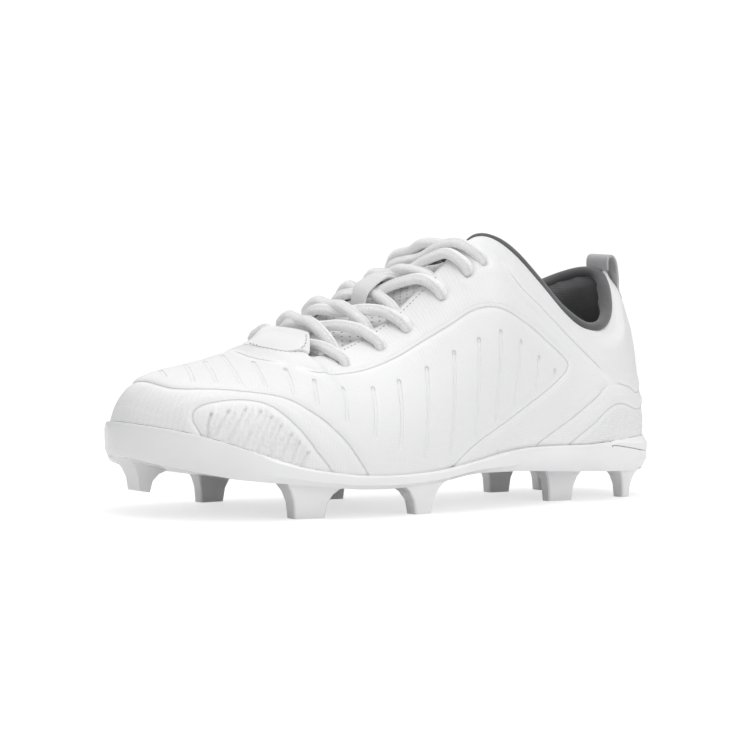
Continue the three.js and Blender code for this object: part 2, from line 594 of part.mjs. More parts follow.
// The point of a wall's face at a height, or straight above its top edge where it ends lower
function atHeight(face, t, z) {
  if (z >= face(t, 1).z) return face(t, 1).setZ(z);
  let low = 0;
  let high = 1;
  for (let i = 0; i < 24; i += 1) {
    const middle = (low + high) / 2;
    if (face(t, middle).z < z) low = middle;
    else high = middle;
  }
  return face(t, low);
}

// Webbing loop over the back of the collar, down both faces of the wall
function buildPullLoop() {
  const spread = WEBBING_WIDTH / 2 / Math.abs(outer(1, 1).y);
  const off = SOFT_GAP + WEBBING / 2;
  const top = topPoint(0).z + ROLL * wall(0, 1) + off;
  const behind = (t, v) => outer(t, v).addScaledVector(normal(t, v), off);
  const before = (t, v) => inside(t, v, wall(t, v) + off);
  const value = (row, name) => row[LOOP_COLUMNS.indexOf(name)];
  return sheet(LOOP_ROWS.map((row) => LOOP_SHARES.map((share) => {
    const t = (LOOP + share * spread) % LOOP;
    const z = top + value(row, 'rise') * LOOP_RISE - value(row, 'drop') * LOOP_LEG;
    return atHeight(behind, t, z).lerp(atHeight(before, t, z), value(row, 'over'));
  })), WEBBING);
}

// A place of the lace's middle line between the eyelet row at section a on the lateral side and at
// section b on the medial side. across is 0 and 1 at the throat's edges, -1 and 2 over the eyelets.
function lacePlace(a, b, across, bow) {
  const lift = LACE_THICK / 2 + GAP;
  const down = 1 - (RISERS[EYELET_RISER] + RISERS[EYELET_RISER + 1]) / 2;
  const edgeLift = lift + ROLL * UPPER_WALL + GAP;
  const beside = (t, share) => outer(t, 1 - down * share)
    .addScaledVector(normal(t, 1 - down * share), THREE.MathUtils.lerp(edgeLift, lift + GAP, share));
  if (across < 0) return beside(a, -across);
  if (across > 1) return beside(LOOP - b, across - 1);
  const s = THREE.MathUtils.lerp(a, b, across);
  return beside(a, 0).lerp(beside(LOOP - b, 0), across)
    .addScaledVector(throatUp(s), bow * 4 * across * (1 - across));
}
function laceStrand(a, b, stops, bow) {
  const dive = (i, across) => throatUp(THREE.MathUtils.lerp(a, b, across))
    .multiplyScalar(-(LACE_DIVE[i] ?? 0));
  const places = stops.map((across, i) => {
    const place = lacePlace(a, b, across, bow);
    return across > 0 && across < 1 ? place.add(dive(i, across)) : place;
  });
  const route = new THREE.CatmullRomCurve3(places, false, 'centripetal');
  const sections = [];
  for (let i = 0; i <= LACE_STEPS; i += 1) {
    const u = i / LACE_STEPS;
    const across = THREE.MathUtils.lerp(stops[0], stops[stops.length - 1], u);
    const s = THREE.MathUtils.lerp(a, b, THREE.MathUtils.clamp(across, 0, 1));
    const face = across < 0 ? normal(a, LACE_FACE) : across > 1 ? normal(LOOP - b, LACE_FACE) : throatUp(s);
    const centre = route.getPointAt(u);
    const side = route.getTangentAt(u).cross(face).normalize();
    const up = side.clone().cross(route.getTangentAt(u)).normalize();
    sections.push(Array.from({ length: LACE_SIDES }, (_, k) => {
      const angle = (2 * Math.PI * k) / LACE_SIDES;
      return centre.clone().addScaledVector(side, Math.cos(angle) * LACE_WIDTH / 2)
        .addScaledVector(up, Math.sin(angle) * LACE_THICK / 2);
    }));
  }
  return loft(sections, false);
}
const TO_LATERAL = [0.87, 0.7, 0.5, 0.3, 0.1, -0.2, -0.6, -1];
const TO_MEDIAL = [0.13, 0.3, 0.5, 0.7, 0.9, 1.2, 1.6, 2];
const ALL_OVER = [-1, -0.6, -0.2, 0.1, 0.5, 0.9, 1.2, 1.6, 2];
// The straight bar at the bottom, and above it one crossing for each pair of eyelets
const buildLaceBar = () => laceStrand(EYELETS_LATERAL[0], EYELETS_MEDIAL[0], ALL_OVER, LACE_BOWS[0]);
const buildLaceCross = (n) => joined([
  laceStrand(EYELETS_LATERAL[n], EYELETS_MEDIAL[n - 1] - LACE_STEP_BACK, TO_LATERAL, LACE_BOWS[n]),
  laceStrand(EYELETS_LATERAL[n - 1] - LACE_STEP_BACK, EYELETS_MEDIAL[n], TO_MEDIAL, LACE_BOWS[n]),
]);

// Throat tab: sewn on in front of the throat, its free end lies over the lowest lace
function buildTab() {
  const value = (row, name) => row[TAB_COLUMNS.indexOf(name)];
  const over = (t, v) => outer(t, v).addScaledVector(normal(t, v), SOFT_GAP + TAB / 2);
  const front = new THREE.CatmullRomCurve3(
    TAB_ROWS.map((row) => over(value(row, 'around'), value(row, 'up'))), false, 'centripetal');
  const [a, b] = [EYELETS_LATERAL[0], EYELETS_MEDIAL[0]];
  const free = (share) => {
    const across = THREE.MathUtils.lerp(TAB_ACROSS[0], TAB_ACROSS[1], share);
    return lacePlace(a, b, across, LACE_BOWS[0])
      .addScaledVector(throatUp(THREE.MathUtils.lerp(a, b, across)), LACE_THICK / 2 + SOFT_GAP + TAB / 2);
  };
  return sheet(TAB_SHARES.map((along) => Array.from({ length: TAB_FACETS + 1 }, (_, i) => {
    const share = i / TAB_FACETS;
    return front.getPointAt(share).lerp(free(share), along)
      .addScaledVector(throatUp(THROAT_FOOT - 1), TAB_BULGE * 4 * along * Math.max(1 - along, 0));
  })), TAB);
}

// Lace keeper: a flat loop sewn to the tongue at both ends, over the middle crossing
function buildKeeper() {
  const value = (row, name) => row[KEEPER_COLUMNS.indexOf(name)];
  const seat = SOFT_GAP + KEEPER / 2;
  const crest = (s, across) => lacePlace(s, s, across, LACE_BOWS[KEPT_CROSSING])
    .addScaledVector(throatUp(s), LACE_THICK / 2 + KEEPER_LIFT + KEEPER / 2);
  const grid = KEEPER_ROWS.map((row) => KEEPER_ACROSS.map((across) => {
    const s = value(row, 'section');
    return tonguePlace(s, across, seat).lerp(crest(s, across), value(row, 'over'));
  }));
  return sheet(grid, KEEPER);
}

const WHITE_RUBBER = { color: 0xf4f4f4, roughness: 0.25, metalness: 0 };
const WHITE_FOAM = { color: 0xf2f2f2, roughness: 0.5, metalness: 0 };
const WHITE_LEATHER = { color: 0xf6f6f6, roughness: 0.42, metalness: 0 };
const GREY_LINING = { color: 0x565656, roughness: 0.95, metalness: 0 };
const PALE_TEXTILE = { color: 0xe6e6e6, roughness: 0.85, metalness: 0 };
const GREY_WEBBING = { color: 0xc4c4c4, roughness: 0.9, metalness: 0 };

const shoe = new THREE.Group();
function addPiece(name, geometry, finish) {
  const mesh = new THREE.Mesh(geometry, new THREE.MeshStandardMaterial(finish));
  mesh.name = name;
  shoe.add(mesh);
}
addPiece('outsole', buildOutsole(), WHITE_RUBBER);
addPiece('midsole', buildMidsole(), WHITE_FOAM);
addPiece('upper', buildUpper(), WHITE_LEATHER);
addPiece('insole', buildInsole(), GREY_LINING);
addPiece('tongue', buildTongue(), PALE_TEXTILE);
addPiece('throat_tab', buildTab(), WHITE_LEATHER);
addPiece('lace_keeper', buildKeeper(), PALE_TEXTILE);
addPiece('pull_loop', buildPullLoop(), GREY_WEBBING);
addPiece('lace_bar', buildLaceBar(), PALE_TEXTILE);
for (let n = 1; n < EYELETS_LATERAL.length; n += 1) {
  addPiece(`lace_cross_${n}`, buildLaceCross(n), PALE_TEXTILE);
}
// The outline's middle is set on the origin, because the forefoot is wider on one side
const box = new THREE.Box3().setFromObject(shoe);
shoe.position.set(-(box.min.x + box.max.x) / 2, -(box.min.y + box.max.y) / 2, -box.min.z);

export default shoe;
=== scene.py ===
# %% [markdown]
# # A white baseball cleat
# This lesson dresses a imported CAD model of a left shoe. The CAD solids fix every size and place. Here they
# get what a drawing leaves out: moulded relief, padding, stitches, laces with a weave, and finishes.
# The imported model is loaded first, as a fixed frame in metres.

# %% Load the imported shoe
import bmesh
import bpy
import math
import numpy as np
from mathutils import Matrix, Vector
from mathutils.bvhtree import BVHTree


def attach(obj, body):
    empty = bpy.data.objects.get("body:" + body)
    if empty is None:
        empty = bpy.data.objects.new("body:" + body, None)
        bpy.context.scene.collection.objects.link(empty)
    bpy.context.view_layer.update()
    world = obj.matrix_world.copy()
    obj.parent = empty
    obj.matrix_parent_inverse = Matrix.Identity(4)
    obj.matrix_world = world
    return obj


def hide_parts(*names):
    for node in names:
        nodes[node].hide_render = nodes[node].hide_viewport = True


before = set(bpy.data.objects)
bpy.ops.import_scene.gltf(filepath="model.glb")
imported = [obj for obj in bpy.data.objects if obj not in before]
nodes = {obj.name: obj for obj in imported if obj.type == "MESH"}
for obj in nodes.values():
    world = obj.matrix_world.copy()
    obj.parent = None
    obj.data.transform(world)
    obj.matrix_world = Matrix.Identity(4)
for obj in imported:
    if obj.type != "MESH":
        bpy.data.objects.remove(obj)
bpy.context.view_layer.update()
MM = 0.001
print("solids:", sorted(nodes))

# %% [markdown]
# ## The camera
# The camera comes first, because relief on this shoe is placed on the picture plane and then cast
# onto the shoe. It stands two metres away, a little above the floor, with a long lens, and it is rolled by
# about a degree. A long lens keeps the toe from swelling.

# %% Camera
AZIMUTH, ELEVATION, ROLL = (math.radians(a) for a in (40.6, 3.4, 1.2))
FOCAL_PIXELS, SIDE_PIXELS, SENSOR = 4511, 750, 36
DISTANCE = 2.0
LOOK_AT = Vector((1.5, 1.86, 60)) * MM
SLIDE, RAISE = -7.2 * MM, -2.9 * MM

backward = Vector((-math.sin(AZIMUTH) * math.cos(ELEVATION), -math.cos(AZIMUTH) * math.cos(ELEVATION),
                   math.sin(ELEVATION)))
level = Vector((math.cos(AZIMUTH), -math.sin(AZIMUTH), 0))
upright = backward.cross(level)
right = level * math.cos(ROLL) + upright * math.sin(ROLL)
above = upright * math.cos(ROLL) - level * math.sin(ROLL)
eye = LOOK_AT + backward * DISTANCE + right * SLIDE + above * RAISE

camera = bpy.data.objects.new("camera", bpy.data.cameras.new("camera"))
bpy.context.scene.collection.objects.link(camera)
bpy.context.scene.camera = camera
camera.matrix_world = Matrix((right, above, backward)).transposed().to_4x4()
camera.location = eye
camera.data.sensor_width = SENSOR
camera.data.lens = FOCAL_PIXELS * SENSOR / SIDE_PIXELS
camera.data.clip_end = 20


def sight(x, y):
    """Direction from the camera through a place in the picture."""
    half = SIDE_PIXELS / 2
    return ((x - half) / FOCAL_PIXELS * right - (y - half) / FOCAL_PIXELS * above - backward).normalized()


print("camera stands at", [round(c, 3) for c in eye])

# %% [markdown]
# ## Working copies
# A CAD node keeps its mesh. A piece that needs more shape starts from a copy, whose loose triangles are first
# merged into one surface and paired into four-sided faces, which bevel and subdivide evenly.

# %% Helpers for meshes
MERGE = 0.005 * MM


def merged_copy(name):
    """The CAD node's mesh as a bmesh, merged and with its triangles paired."""
    made = bmesh.new()
    made.from_mesh(nodes[name].data)
    bmesh.ops.remove_doubles(made, verts=made.verts, dist=MERGE)
    bmesh.ops.join_triangles(made, faces=made.faces, angle_face_threshold=math.radians(40),
                             angle_shape_threshold=math.radians(50))
    return made


def finish_piece(name, made, material, smooth=True):
    """A bmesh as a piece of the shoe that moves with its one body."""
    mesh = bpy.data.meshes.new(name)
    made.to_mesh(mesh)
    made.free()
    for face in mesh.polygons:
        face.use_smooth = smooth
    piece = bpy.data.objects.new(name, mesh)
    bpy.context.scene.collection.objects.link(piece)
    for one in material if isinstance(material, list) else [material]:
        mesh.materials.append(one)
    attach(piece, "root")
    print(name, len(mesh.polygons), "faces")
    return piece


def subdivide(piece, levels):
    """Rounds a piece with a live Subdivision Surface."""
    rounding = piece.modifiers.new("rounding", "SUBSURF")
    rounding.levels = rounding.render_levels = levels


def catmull(points, step):
    """A smooth run of points through the given ones, about one step apart."""
    points = [Vector(p) for p in points]
    run = [points[0] * 2 - points[1], *points, points[-1] * 2 - points[-2]]
    found = []
    for a, b, c, d in zip(run, run[1:], run[2:], run[3:]):
        count = max(1, round((c - b).length / step))
        for k in range(count):
            f = k / count
            found.append(0.5 * (2 * b + (c - a) * f + (2 * a - 5 * b + 4 * c - d) * f ** 2
                                + (3 * b - a - 3 * c + d) * f ** 3))
    return [*found, points[-1]]


# %% [markdown]
# ## Shader sums in Python
# A material's nodes are easier to read as sums. A small class wraps a socket and turns Python's operators into
# Math nodes, and one method makes any other node from its type, its settings and the values of its sockets.

# %% Material helpers
class Signal:
    """A number that a material works out, which takes part in sums."""

    def __init__(self, finish, socket):
        self.finish, self.socket = finish, socket

    def math(self, operation, *values, clamp=False):
        return self.finish.node("ShaderNodeMath", {"operation": operation, "use_clamp": clamp},
                                dict(enumerate(values)))

    def __add__(self, other):
        return self.math("ADD", self, other)

    __radd__ = __add__

    def __mul__(self, other):
        return self.math("MULTIPLY", self, other)

    __rmul__ = __mul__

    def __sub__(self, other):
        return self.math("SUBTRACT", self, other)

    def __rsub__(self, other):
        return self.math("SUBTRACT", other, self)

    def __truediv__(self, other):
        return self.math("DIVIDE", self, other)

    def __abs__(self):
        return self.math("ABSOLUTE", self)

    def sine(self):
        return self.math("SINE", self)

    def ramp(self, low, high):
        """0 below low, 1 above high and smooth between them."""
        return self.finish.node("ShaderNodeMapRange", {"interpolation_type": "SMOOTHSTEP"},
                                {"Value": self, "From Min": low, "From Max": high})


class Finish:
    """A material made of nodes, around one Principled shader."""

    def __init__(self, name, colour, roughness, **constants):
        self.material = bpy.data.materials.new(name)
        self.material.use_nodes = True
        self.tree = self.material.node_tree
        self.shader = next(n for n in self.tree.nodes if n.type == "BSDF_PRINCIPLED")
        self.shader.inputs["Base Color"].default_value = (*colour, 1)
        self.shader.inputs["Roughness"].default_value = roughness
        for key, value in constants.items():
            self.shader.inputs[key.replace("_", " ")].default_value = value

    def node(self, kind, settings, values, output=0):
        made = self.tree.nodes.new(kind)
        for key, value in settings.items():
            setattr(made, key, value)
        for key, value in values.items():
            self.feed(made.inputs[key], value)
        return Signal(self, made.outputs[output])

    def feed(self, socket, value):
        if isinstance(value, Signal):
            self.tree.links.new(value.socket, socket)
        else:
            socket.default_value = value

    def place(self):
        """The object's own coordinates in millimetres, as three signals."""
        here = self.node("ShaderNodeTexCoord", {}, {}, "Object")
        apart = self.node("ShaderNodeSeparateXYZ", {}, {0: here}).socket.node
        return [Signal(self, apart.outputs[i]) * (1 / MM) for i in range(3)]

    def attribute(self, name):
        return self.node("ShaderNodeAttribute", {"attribute_name": name}, {}, "Fac")

    def noise(self, size, detail=3.0, rough=0.5):
        """Soft noise whose blobs measure about size millimetres."""
        here = self.node("ShaderNodeTexCoord", {}, {}, "Object")
        return self.node("ShaderNodeTexNoise", {}, {"Vector": here, "Scale": 1 / (size * MM), "Detail": detail,
                                                    "Roughness": rough}, 0)

    def blend(self, share, first, second):
        """A colour between two."""
        return self.node("ShaderNodeMix", {"data_type": "RGBA"}, {0: share, 6: (*first, 1), 7: (*second, 1)}, 2)

    def relief(self, height, depth=1.0):
        """Bump from a height in millimetres."""
        bump = self.node("ShaderNodeBump", {}, {"Height": height, "Distance": depth * MM, "Strength": 1.0})
        self.feed(self.shader.inputs["Normal"], bump)

    def colour(self, value):
        self.feed(self.shader.inputs["Base Color"], value)

    def rough(self, value):
        self.feed(self.shader.inputs["Roughness"], value)


TURN = 2 * math.pi

# %% [markdown]
# ## Sorting the upper's faces
# The upper is one hollow wall. A walk from face to face that stops at sharp edges finds its skin, then its
# lining. What is left falls apart into the rolled top edge, the foot inside the sole's rim and the walls of
# the twelve eyelets.

# %% Find skin, lining, edge and eyelets
SHARP = math.radians(44)
ON_SKIN, IN_SHOE = (350, 400), Vector((-20, 4, 60)) * MM
upper = merged_copy("upper")
upper.normal_update()
tree = BVHTree.FromBMesh(upper)


def walk(seed, taken):
    """The faces that join the seed without a sharp edge."""
    found, edge = {seed}, [seed]
    while edge:
        face = edge.pop()
        for side in face.edges:
            for other in side.link_faces:
                if other not in found and other not in taken and side.calc_face_angle(math.pi) < SHARP:
                    found.add(other)
                    edge.append(other)
    return found


def clusters(faces):
    """Groups of faces that hang together."""
    left, groups = set(faces), []
    while left:
        group, edge = set(), [left.pop()]
        while edge:
            face = edge.pop()
            group.add(face)
            near = {other for side in face.edges for other in side.link_faces} & left
            left -= near
            edge.extend(near)
        groups.append(group)
    return groups


upper.faces.ensure_lookup_table()
skin = walk(upper.faces[tree.ray_cast(eye, sight(*ON_SKIN))[2]], set())
lining = walk(upper.faces[tree.ray_cast(IN_SHOE, Vector((0, -1, 0)))[2]], skin)
rest = clusters(set(upper.faces) - skin - lining)
middle = {id(g): sum((f.calc_center_median() for f in g), Vector()) / len(g) for g in rest}
eyelets = sorted((middle[id(g)] for g in rest if len(g) == 4), key=lambda c: c.x)
lips = sorted((g for g in rest if len(g) > 8), key=lambda g: -middle[id(g)].z)
top_edge = lips[0]


def looks_in(face):
    """Whether a face of the wall looks into the shoe."""
    centre = face.calc_center_median()
    inside = Vector((min(max(centre.x, -60 * MM), 95 * MM), 4 * MM, centre.z))
    return face.normal.dot(centre - inside) < 0


turned = {f for g in top_edge for e in g.edges for f in e.link_faces if f in skin and looks_in(f)}
skin -= turned
lining |= turned
print("skin", len(skin), "lining", len(lining), "others", [len(g) for g in rest], "eyelets", len(eyelets))

# %% [markdown]
# ## Finishes of the upper
# The skin is a white synthetic leather, moulded hot: a fine woven grain is pressed in, and over it crisp
# grooves, slots and ribs. The soft forms are moved in the mesh. The crisp ones are bump, worked out from
# distances that the mesh carries as attributes, so that they stay sharp between its points.

# %% White leather
WHITE, SHADE = (0.86, 0.86, 0.865), (0.45, 0.45, 0.47)
GROOVE, SECOND, SLOT, RIB, HEEL_RIB, GRID, PORES = 0.3, 0.1, 0.2, 0.18, 0.08, 0.07, 0.02
SLOT_HALF, GRID_PITCH = 0.8, 1.45


def weave(along, up, pitch):
    """A fine pressed grid of small cushions, from 0 to 1."""
    return (abs((along * (TURN / 2 / pitch)).sine()).ramp(0, 0.6)
            * abs((up * (TURN / 2 / (0.8 * pitch))).sine()).ramp(0, 0.6))


leather = Finish("white_leather", WHITE, 0.42, Coat_Weight=0.12, Coat_Roughness=0.35, Specular_IOR_Level=0.45)
seam_near, seam_side = leather.attribute("seam_near"), leather.attribute("seam_side")
slot_near, rib_near = leather.attribute("slot_near"), leather.attribute("rib_near")
at_seam = 1 - seam_near.ramp(1.6, 2.4)
groove = (1 - abs(seam_side).ramp(0.05, 0.5)) * at_seam * leather.attribute("strength")
rib_top = leather.attribute("rib_top")
rib_line = ((1 - abs(leather.attribute("rib_side")).ramp(0.05, 0.6)) * (1 - rib_near.ramp(1.2, 2.0))
            * (1 - rib_top.ramp(1.0, 11.0)))
heel_line = ((1 - abs(leather.attribute("heel_side")).ramp(0.05, 0.5))
             * (1 - leather.attribute("heel_near").ramp(1.2, 2.0)))
second = ((1 - abs(seam_side - 1.7).ramp(0.05, 0.5)) * (1 - seam_near.ramp(2.2, 2.6))
          * leather.attribute("double"))
slotted = 1 - slot_near.ramp(SLOT_HALF - 0.25, SLOT_HALF + 0.2)
woven = weave(leather.attribute("weave_along"), leather.attribute("weave_up"), GRID_PITCH)
grain = leather.attribute("grain")
height = (woven * GRID * grain + leather.noise(0.5) * PORES
          - groove * GROOVE - second * SECOND - slotted * SLOT - rib_line * RIB - heel_line * HEEL_RIB)
leather.relief(height)
# Painted shadow in the top end of each slot.
hook_shadow = (1 - abs(slot_near - 0.75).ramp(0.15, 0.5)) * leather.attribute("slot_top")
# Painted shade at the top of each rib.
rib_top_shade = 1 - rib_top.ramp(0.5, 1.3)
# Painted shade: the white is darkened towards SHADE in the seam grooves, along the rib and heel rib lines and in the
# valleys of the pressed grid. The slot and rib tops and the sole's rim add their painted shadows.
shade = (groove * 0.17 + hook_shadow * 0.5 + rib_top_shade * 0.3 + rib_line * 0.08 + heel_line * 0.05
         + (1 - woven) * grain * 0.07 + leather.attribute("rim_line"))
leather.colour(leather.blend(shade, WHITE, SHADE))
leather.rough(leather.noise(9.0) * 0.12 + 0.36)
print("leather has", len(leather.tree.nodes), "nodes")

# %% [markdown]
# The lining is a dark knit, drawn over foam. Inside the shoe it is a shade paler than on the collar.
# Both are the same function with other greys.

# %% Dark knitted lining
def knitted(name, dark, light):
    """A knit with small loops, between two greys."""
    made = Finish(name, (dark,) * 3, 0.92, Sheen_Weight=0.35, Sheen_Roughness=0.5)
    x, y, z = made.place()
    loops = ((x + y) * (TURN / 1.1)).sine() * (z * (TURN / 0.9)).sine()
    made.relief(loops * 0.03 + made.noise(1.2) * 0.08)
    made.colour(made.blend(made.noise(14.0).ramp(0.3, 0.7), (dark, dark, dark * 1.04), (light, light, light * 1.04)))
    print(name, "greys", dark, light)
    return made


knit, collar_knit = knitted("dark_knit", 0.165, 0.2), knitted("collar_knit", 0.09, 0.115)

# %% [markdown]
# ## Lines drawn on the shoe
# Each moulded line is written as a few places in the picture. A ray through each place lands on the upper,
# and a smooth run between the landings, pressed back onto the surface, is the line. The far side of a shoe
# mirrors the near one, so each line is also mirrored over the shoe's middle.

# %% Lines of the moulding
CAP = [(141, 381.6), (160, 385.4), (185, 389), (235, 390.4), (281, 397), (315, 414), (345, 440), (366, 471)]
POD = [(207, 446), (199, 432), (192, 418), (197, 408), (215, 402), (245, 400), (269, 405), (295, 424), (315, 448),
       (330, 468)]
VAMP = [(223, 352), (250, 357), (284, 363.6)]
PANEL = [(299, 367.6), (318, 372), (338, 374.4), (365, 370), (395, 358), (420, 343), (450, 325), (470, 312),
         (486, 307), (506, 310), (530, 326), (550, 344), (566, 360), (567, 370), (550, 388), (522, 410), (498, 428),
         (474, 446), (452, 468)]
QUARTER = [(503, 263), (522, 288), (544, 310), (570, 338), (590, 358), (608, 378)]
OVERLAY = [(466, 284), (478, 276), (490, 271), (500, 271.5), (508, 278), (524, 295), (540, 310)]
HEEL_OUTER = [(538, 444), (552, 433), (570, 420), (596, 398), (606, 387), (616, 383.6), (628, 387), (637, 392)]
HEEL_INNER = [(570, 444), (583, 433), (596, 422), (610, 408), (622, 403.6), (638, 409)]
HEEL_RIBS = [[(579, 444), (590, 436), (604, 422), (614, 412), (623, 408), (637, 412)],
             [(590, 444), (600, 436), (610, 425), (618, 415.5), (626, 412), (638, 416)],
             [(600, 444), (608, 437), (616, 427), (623, 419), (630, 416), (639, 420)],
             [(609, 443), (616, 437), (622, 430), (628, 424), (639, 424)],
             [(618, 442), (624, 436), (630, 431), (640, 429)]]
SLOTS = [[(160, 371), (165, 377)], [(184, 365), (193, 381)], [(205, 362), (216, 382)],
         [(222, 356), (231, 367), (241, 384)], [(253, 362), (259, 372), (266, 387)],
         [(285, 369), (290, 379), (293, 394)],
         [(314, 380), (318, 407)], [(343, 388), (347, 421)], [(373, 388), (375, 436)], [(399, 381), (400, 448)],
         [(427, 368), (424, 457)], [(454, 352), (450, 452)], [(479, 339), (475, 436)], [(501, 331), (495, 420)],
         [(521, 341), (514, 406)], [(539, 357), (536, 391)], [(555, 370), (553.6, 379)]]
RIB_TOPS = [(211, 415), (228, 412), (245, 410), (260, 412), (271, 418), (281, 426), (291, 435), (299, 443),
            (308, 453)]
RIB_FEET = [(208, 430), (214, 436), (228, 441), (243, 447), (256, 454), (268, 459), (279, 463), (290, 466),
            (300, 468)]
RIBS = [[top, (0.62 * top[0] + 0.38 * foot[0] - 2, 0.5 * (top[1] + foot[1])), foot]
        for top, foot in zip(RIB_TOPS, RIB_FEET)]

STEP = 2 * MM
skin_alone = upper.copy()
skin_index = {f.index for f in skin}
bmesh.ops.delete(skin_alone, geom=[f for f in skin_alone.faces if f.index not in skin_index], context="FACES")
skin_tree = BVHTree.FromBMesh(skin_alone)
MIDDLE = ((-150, 6.5), (-100, 6), (-50, 4), (0, 1.5), (150, 1.86))


def middle_line(x):
    """The shoe's middle across, at a place along it."""
    xs, ys = zip(*MIDDLE)
    return float(np.interp(x / MM, xs, ys)) * MM


def landing(spot):
    """Where a place in the picture falls on the upper. Past the outline it slips back in."""
    x, y = spot
    for slip in (0, 1, 2, 3, 4, 6, 8, 11):
        hit = skin_tree.ray_cast(eye, sight(x + (slip if x < 375 else -slip), y + 0.4 * slip))[0]
        if hit:
            return hit
    raise ValueError(f"no upper at {spot}")


def pressed(points):
    return [skin_tree.find_nearest(p)[0] for p in points]


def mirrored(points):
    """The same line on the other side, run so that the same side of it stays on its left."""
    swapped = [Vector((p.x, 2 * middle_line(p.x) - p.y, p.z)) for p in points]
    return pressed(swapped)[::-1]


def drawn(spots, joined=None):
    """The near line and the far one, or both as one line where they meet at their start or end."""
    near = [landing(s) for s in spots]
    if joined == "start":
        near = [p for p in near if p.y < middle_line(p.x)]
    far = mirrored(near)
    if joined == "start":
        return [pressed(catmull([*far, *near], STEP))]
    if joined == "end":
        return [pressed(catmull([*near, *far], STEP))]
    far = [p for p in far if p.y > middle_line(p.x) + 2 * MM and min((p - q).length for q in near) > 5 * MM]
    return [pressed(catmull(line, STEP)) for line in (near, far) if len(line) > 1]


panels, free = drawn(PANEL), [*drawn(VAMP), *drawn(QUARTER)]
seams = [*drawn(CAP, "start"), *drawn(POD), *panels, *free, *drawn(HEEL_OUTER, "end"), *drawn(HEEL_INNER, "end")]
overlays = drawn(OVERLAY)
slots = [line for spots in SLOTS for line in drawn(spots)]
ribs = [line for spots in RIBS for line in drawn(spots)]
heel_ribs = [line for spots in HEEL_RIBS for line in drawn(spots, "end")]
print("lines:", len(seams), "seams,", len(slots), "slots,", len(ribs) + len(heel_ribs), "ribs")

# %% [markdown]
# ## The moulded skin
# The skin is taken from the upper with its rolled edge and eyelet walls, and rounded three times, to a mesh
# of about a millimetre. A remesh would lose the sharp edge of the wall, so the rounding is by subdivision.
# The lining is rounded the same way, twice.

# %% Skin and lining meshes
FINE, LINING_FINE = 3, 2
foot = set(lips[1])
hidden = foot | {f for g in foot for e in g.edges for f in e.link_faces if f in skin}


def fade(value, low, high):
    """0 below low, 1 above high and smooth between them."""
    share = np.clip((value - low) / (high - low), 0, 1)
    return share * share * (3 - 2 * share)


def part_of(faces):
    """A new bmesh with only these faces of the upper."""
    for face in upper.faces:
        face.tag = face in faces
    copy = upper.copy()
    bmesh.ops.delete(copy, geom=[f for f in copy.faces if not f.tag], context="FACES")
    return copy


def rounded(made, levels):
    """The mesh after that many rounds of subdivision, as a bmesh."""
    mesh = bpy.data.meshes.new("rounding")
    made.to_mesh(mesh)
    made.free()
    holder = bpy.data.objects.new("rounding", mesh)
    bpy.context.scene.collection.objects.link(holder)
    subdivide(holder, levels)
    shaped = holder.evaluated_get(bpy.context.evaluated_depsgraph_get()).to_mesh()
    result = bmesh.new()
    result.from_mesh(shaped)
    bpy.data.objects.remove(holder)
    return result


skin_mesh = rounded(part_of(set(upper.faces) - lining - hidden), FINE)
lining_mesh = rounded(part_of(lining | hidden), LINING_FINE)
lining_mesh.normal_update()
print("skin", len(skin_mesh.faces), "faces, lining", len(lining_mesh.faces), "faces")

# %% [markdown]
# The heel's lining is padded with foam, thickest a little below the collar, and the knit over it has one
# upright fold at the back of the heel. Every point of the lining is pushed along its normal by its distance
# from the lip.

# %% Padding of the heel
PADDED, PAD_FULL, PAD_END, FOLD_DEEP, FOLD_WIDE = 1.7, (1, 7), (14, 34), 2.0, 4
PAD_LOWEST, PAD_FRONT = 45 * MM, 55 * MM
lip = [v.co.copy() for v in {v for g in top_edge for v in g.verts} if v.co.x > 60 * MM]
crease = Vector((118, 14, 0)) * MM
for v in lining_mesh.verts:
    if v.co.x < PAD_FRONT or v.co.z < PAD_LOWEST:
        continue
    below = min((v.co - p).length for p in lip) / MM
    padded = PADDED * float(fade(below, *PAD_FULL) * (1 - fade(below, *PAD_END)) * fade(v.co.x / MM, 60, 90))
    fold = math.hypot(v.co.x - crease.x, v.co.y - crease.y) / MM
    v.co += v.normal * (padded - FOLD_DEEP * (1 - float(fade(fold, 0, FOLD_WIDE)))) * MM
print("lip:", len(lip), "places")

# %% [markdown]
# The throat's front corners are cut square in the solid, while leather stretched on a last is round there.
# The skin near each corner is smoothed again and again, and the free edge of the throat is held.

# %% Corners of the throat
CORNER, CORNER_WIDE, CORNER_ROUNDS, EDGE_HELD, CLOSE_TO_SKIN = (321, 364), 17 * MM, 30, 3.5 * MM, 0.6 * MM
corner = landing(CORNER)
for centre in (corner, *mirrored([corner])):
    around_it = [v for v in skin_mesh.verts if (v.co - centre).length < CORNER_WIDE
                 and (v.co - skin_tree.find_nearest(v.co)[0]).length < CLOSE_TO_SKIN and not v.is_boundary
                 and min((v.co - e.co).length for g in top_edge for e in g.verts) > EDGE_HELD]
    for _ in range(CORNER_ROUNDS):
        bmesh.ops.smooth_vert(skin_mesh, verts=around_it, factor=0.5,
                              use_axis_x=True, use_axis_y=True, use_axis_z=True)
    print("corner of", len(around_it), "points")
skin_mesh.normal_update()

# %% [markdown]
# Each point of the skin learns how far it is from the nearest seam, slot and rib, and on which side of it.
# The mould presses soft forms beside those lines, so the same distances shape both the mesh and the bump.

# %% Distances to the lines
spots = np.array([v.co for v in skin_mesh.verts])
facing = np.array([v.normal for v in skin_mesh.verts])


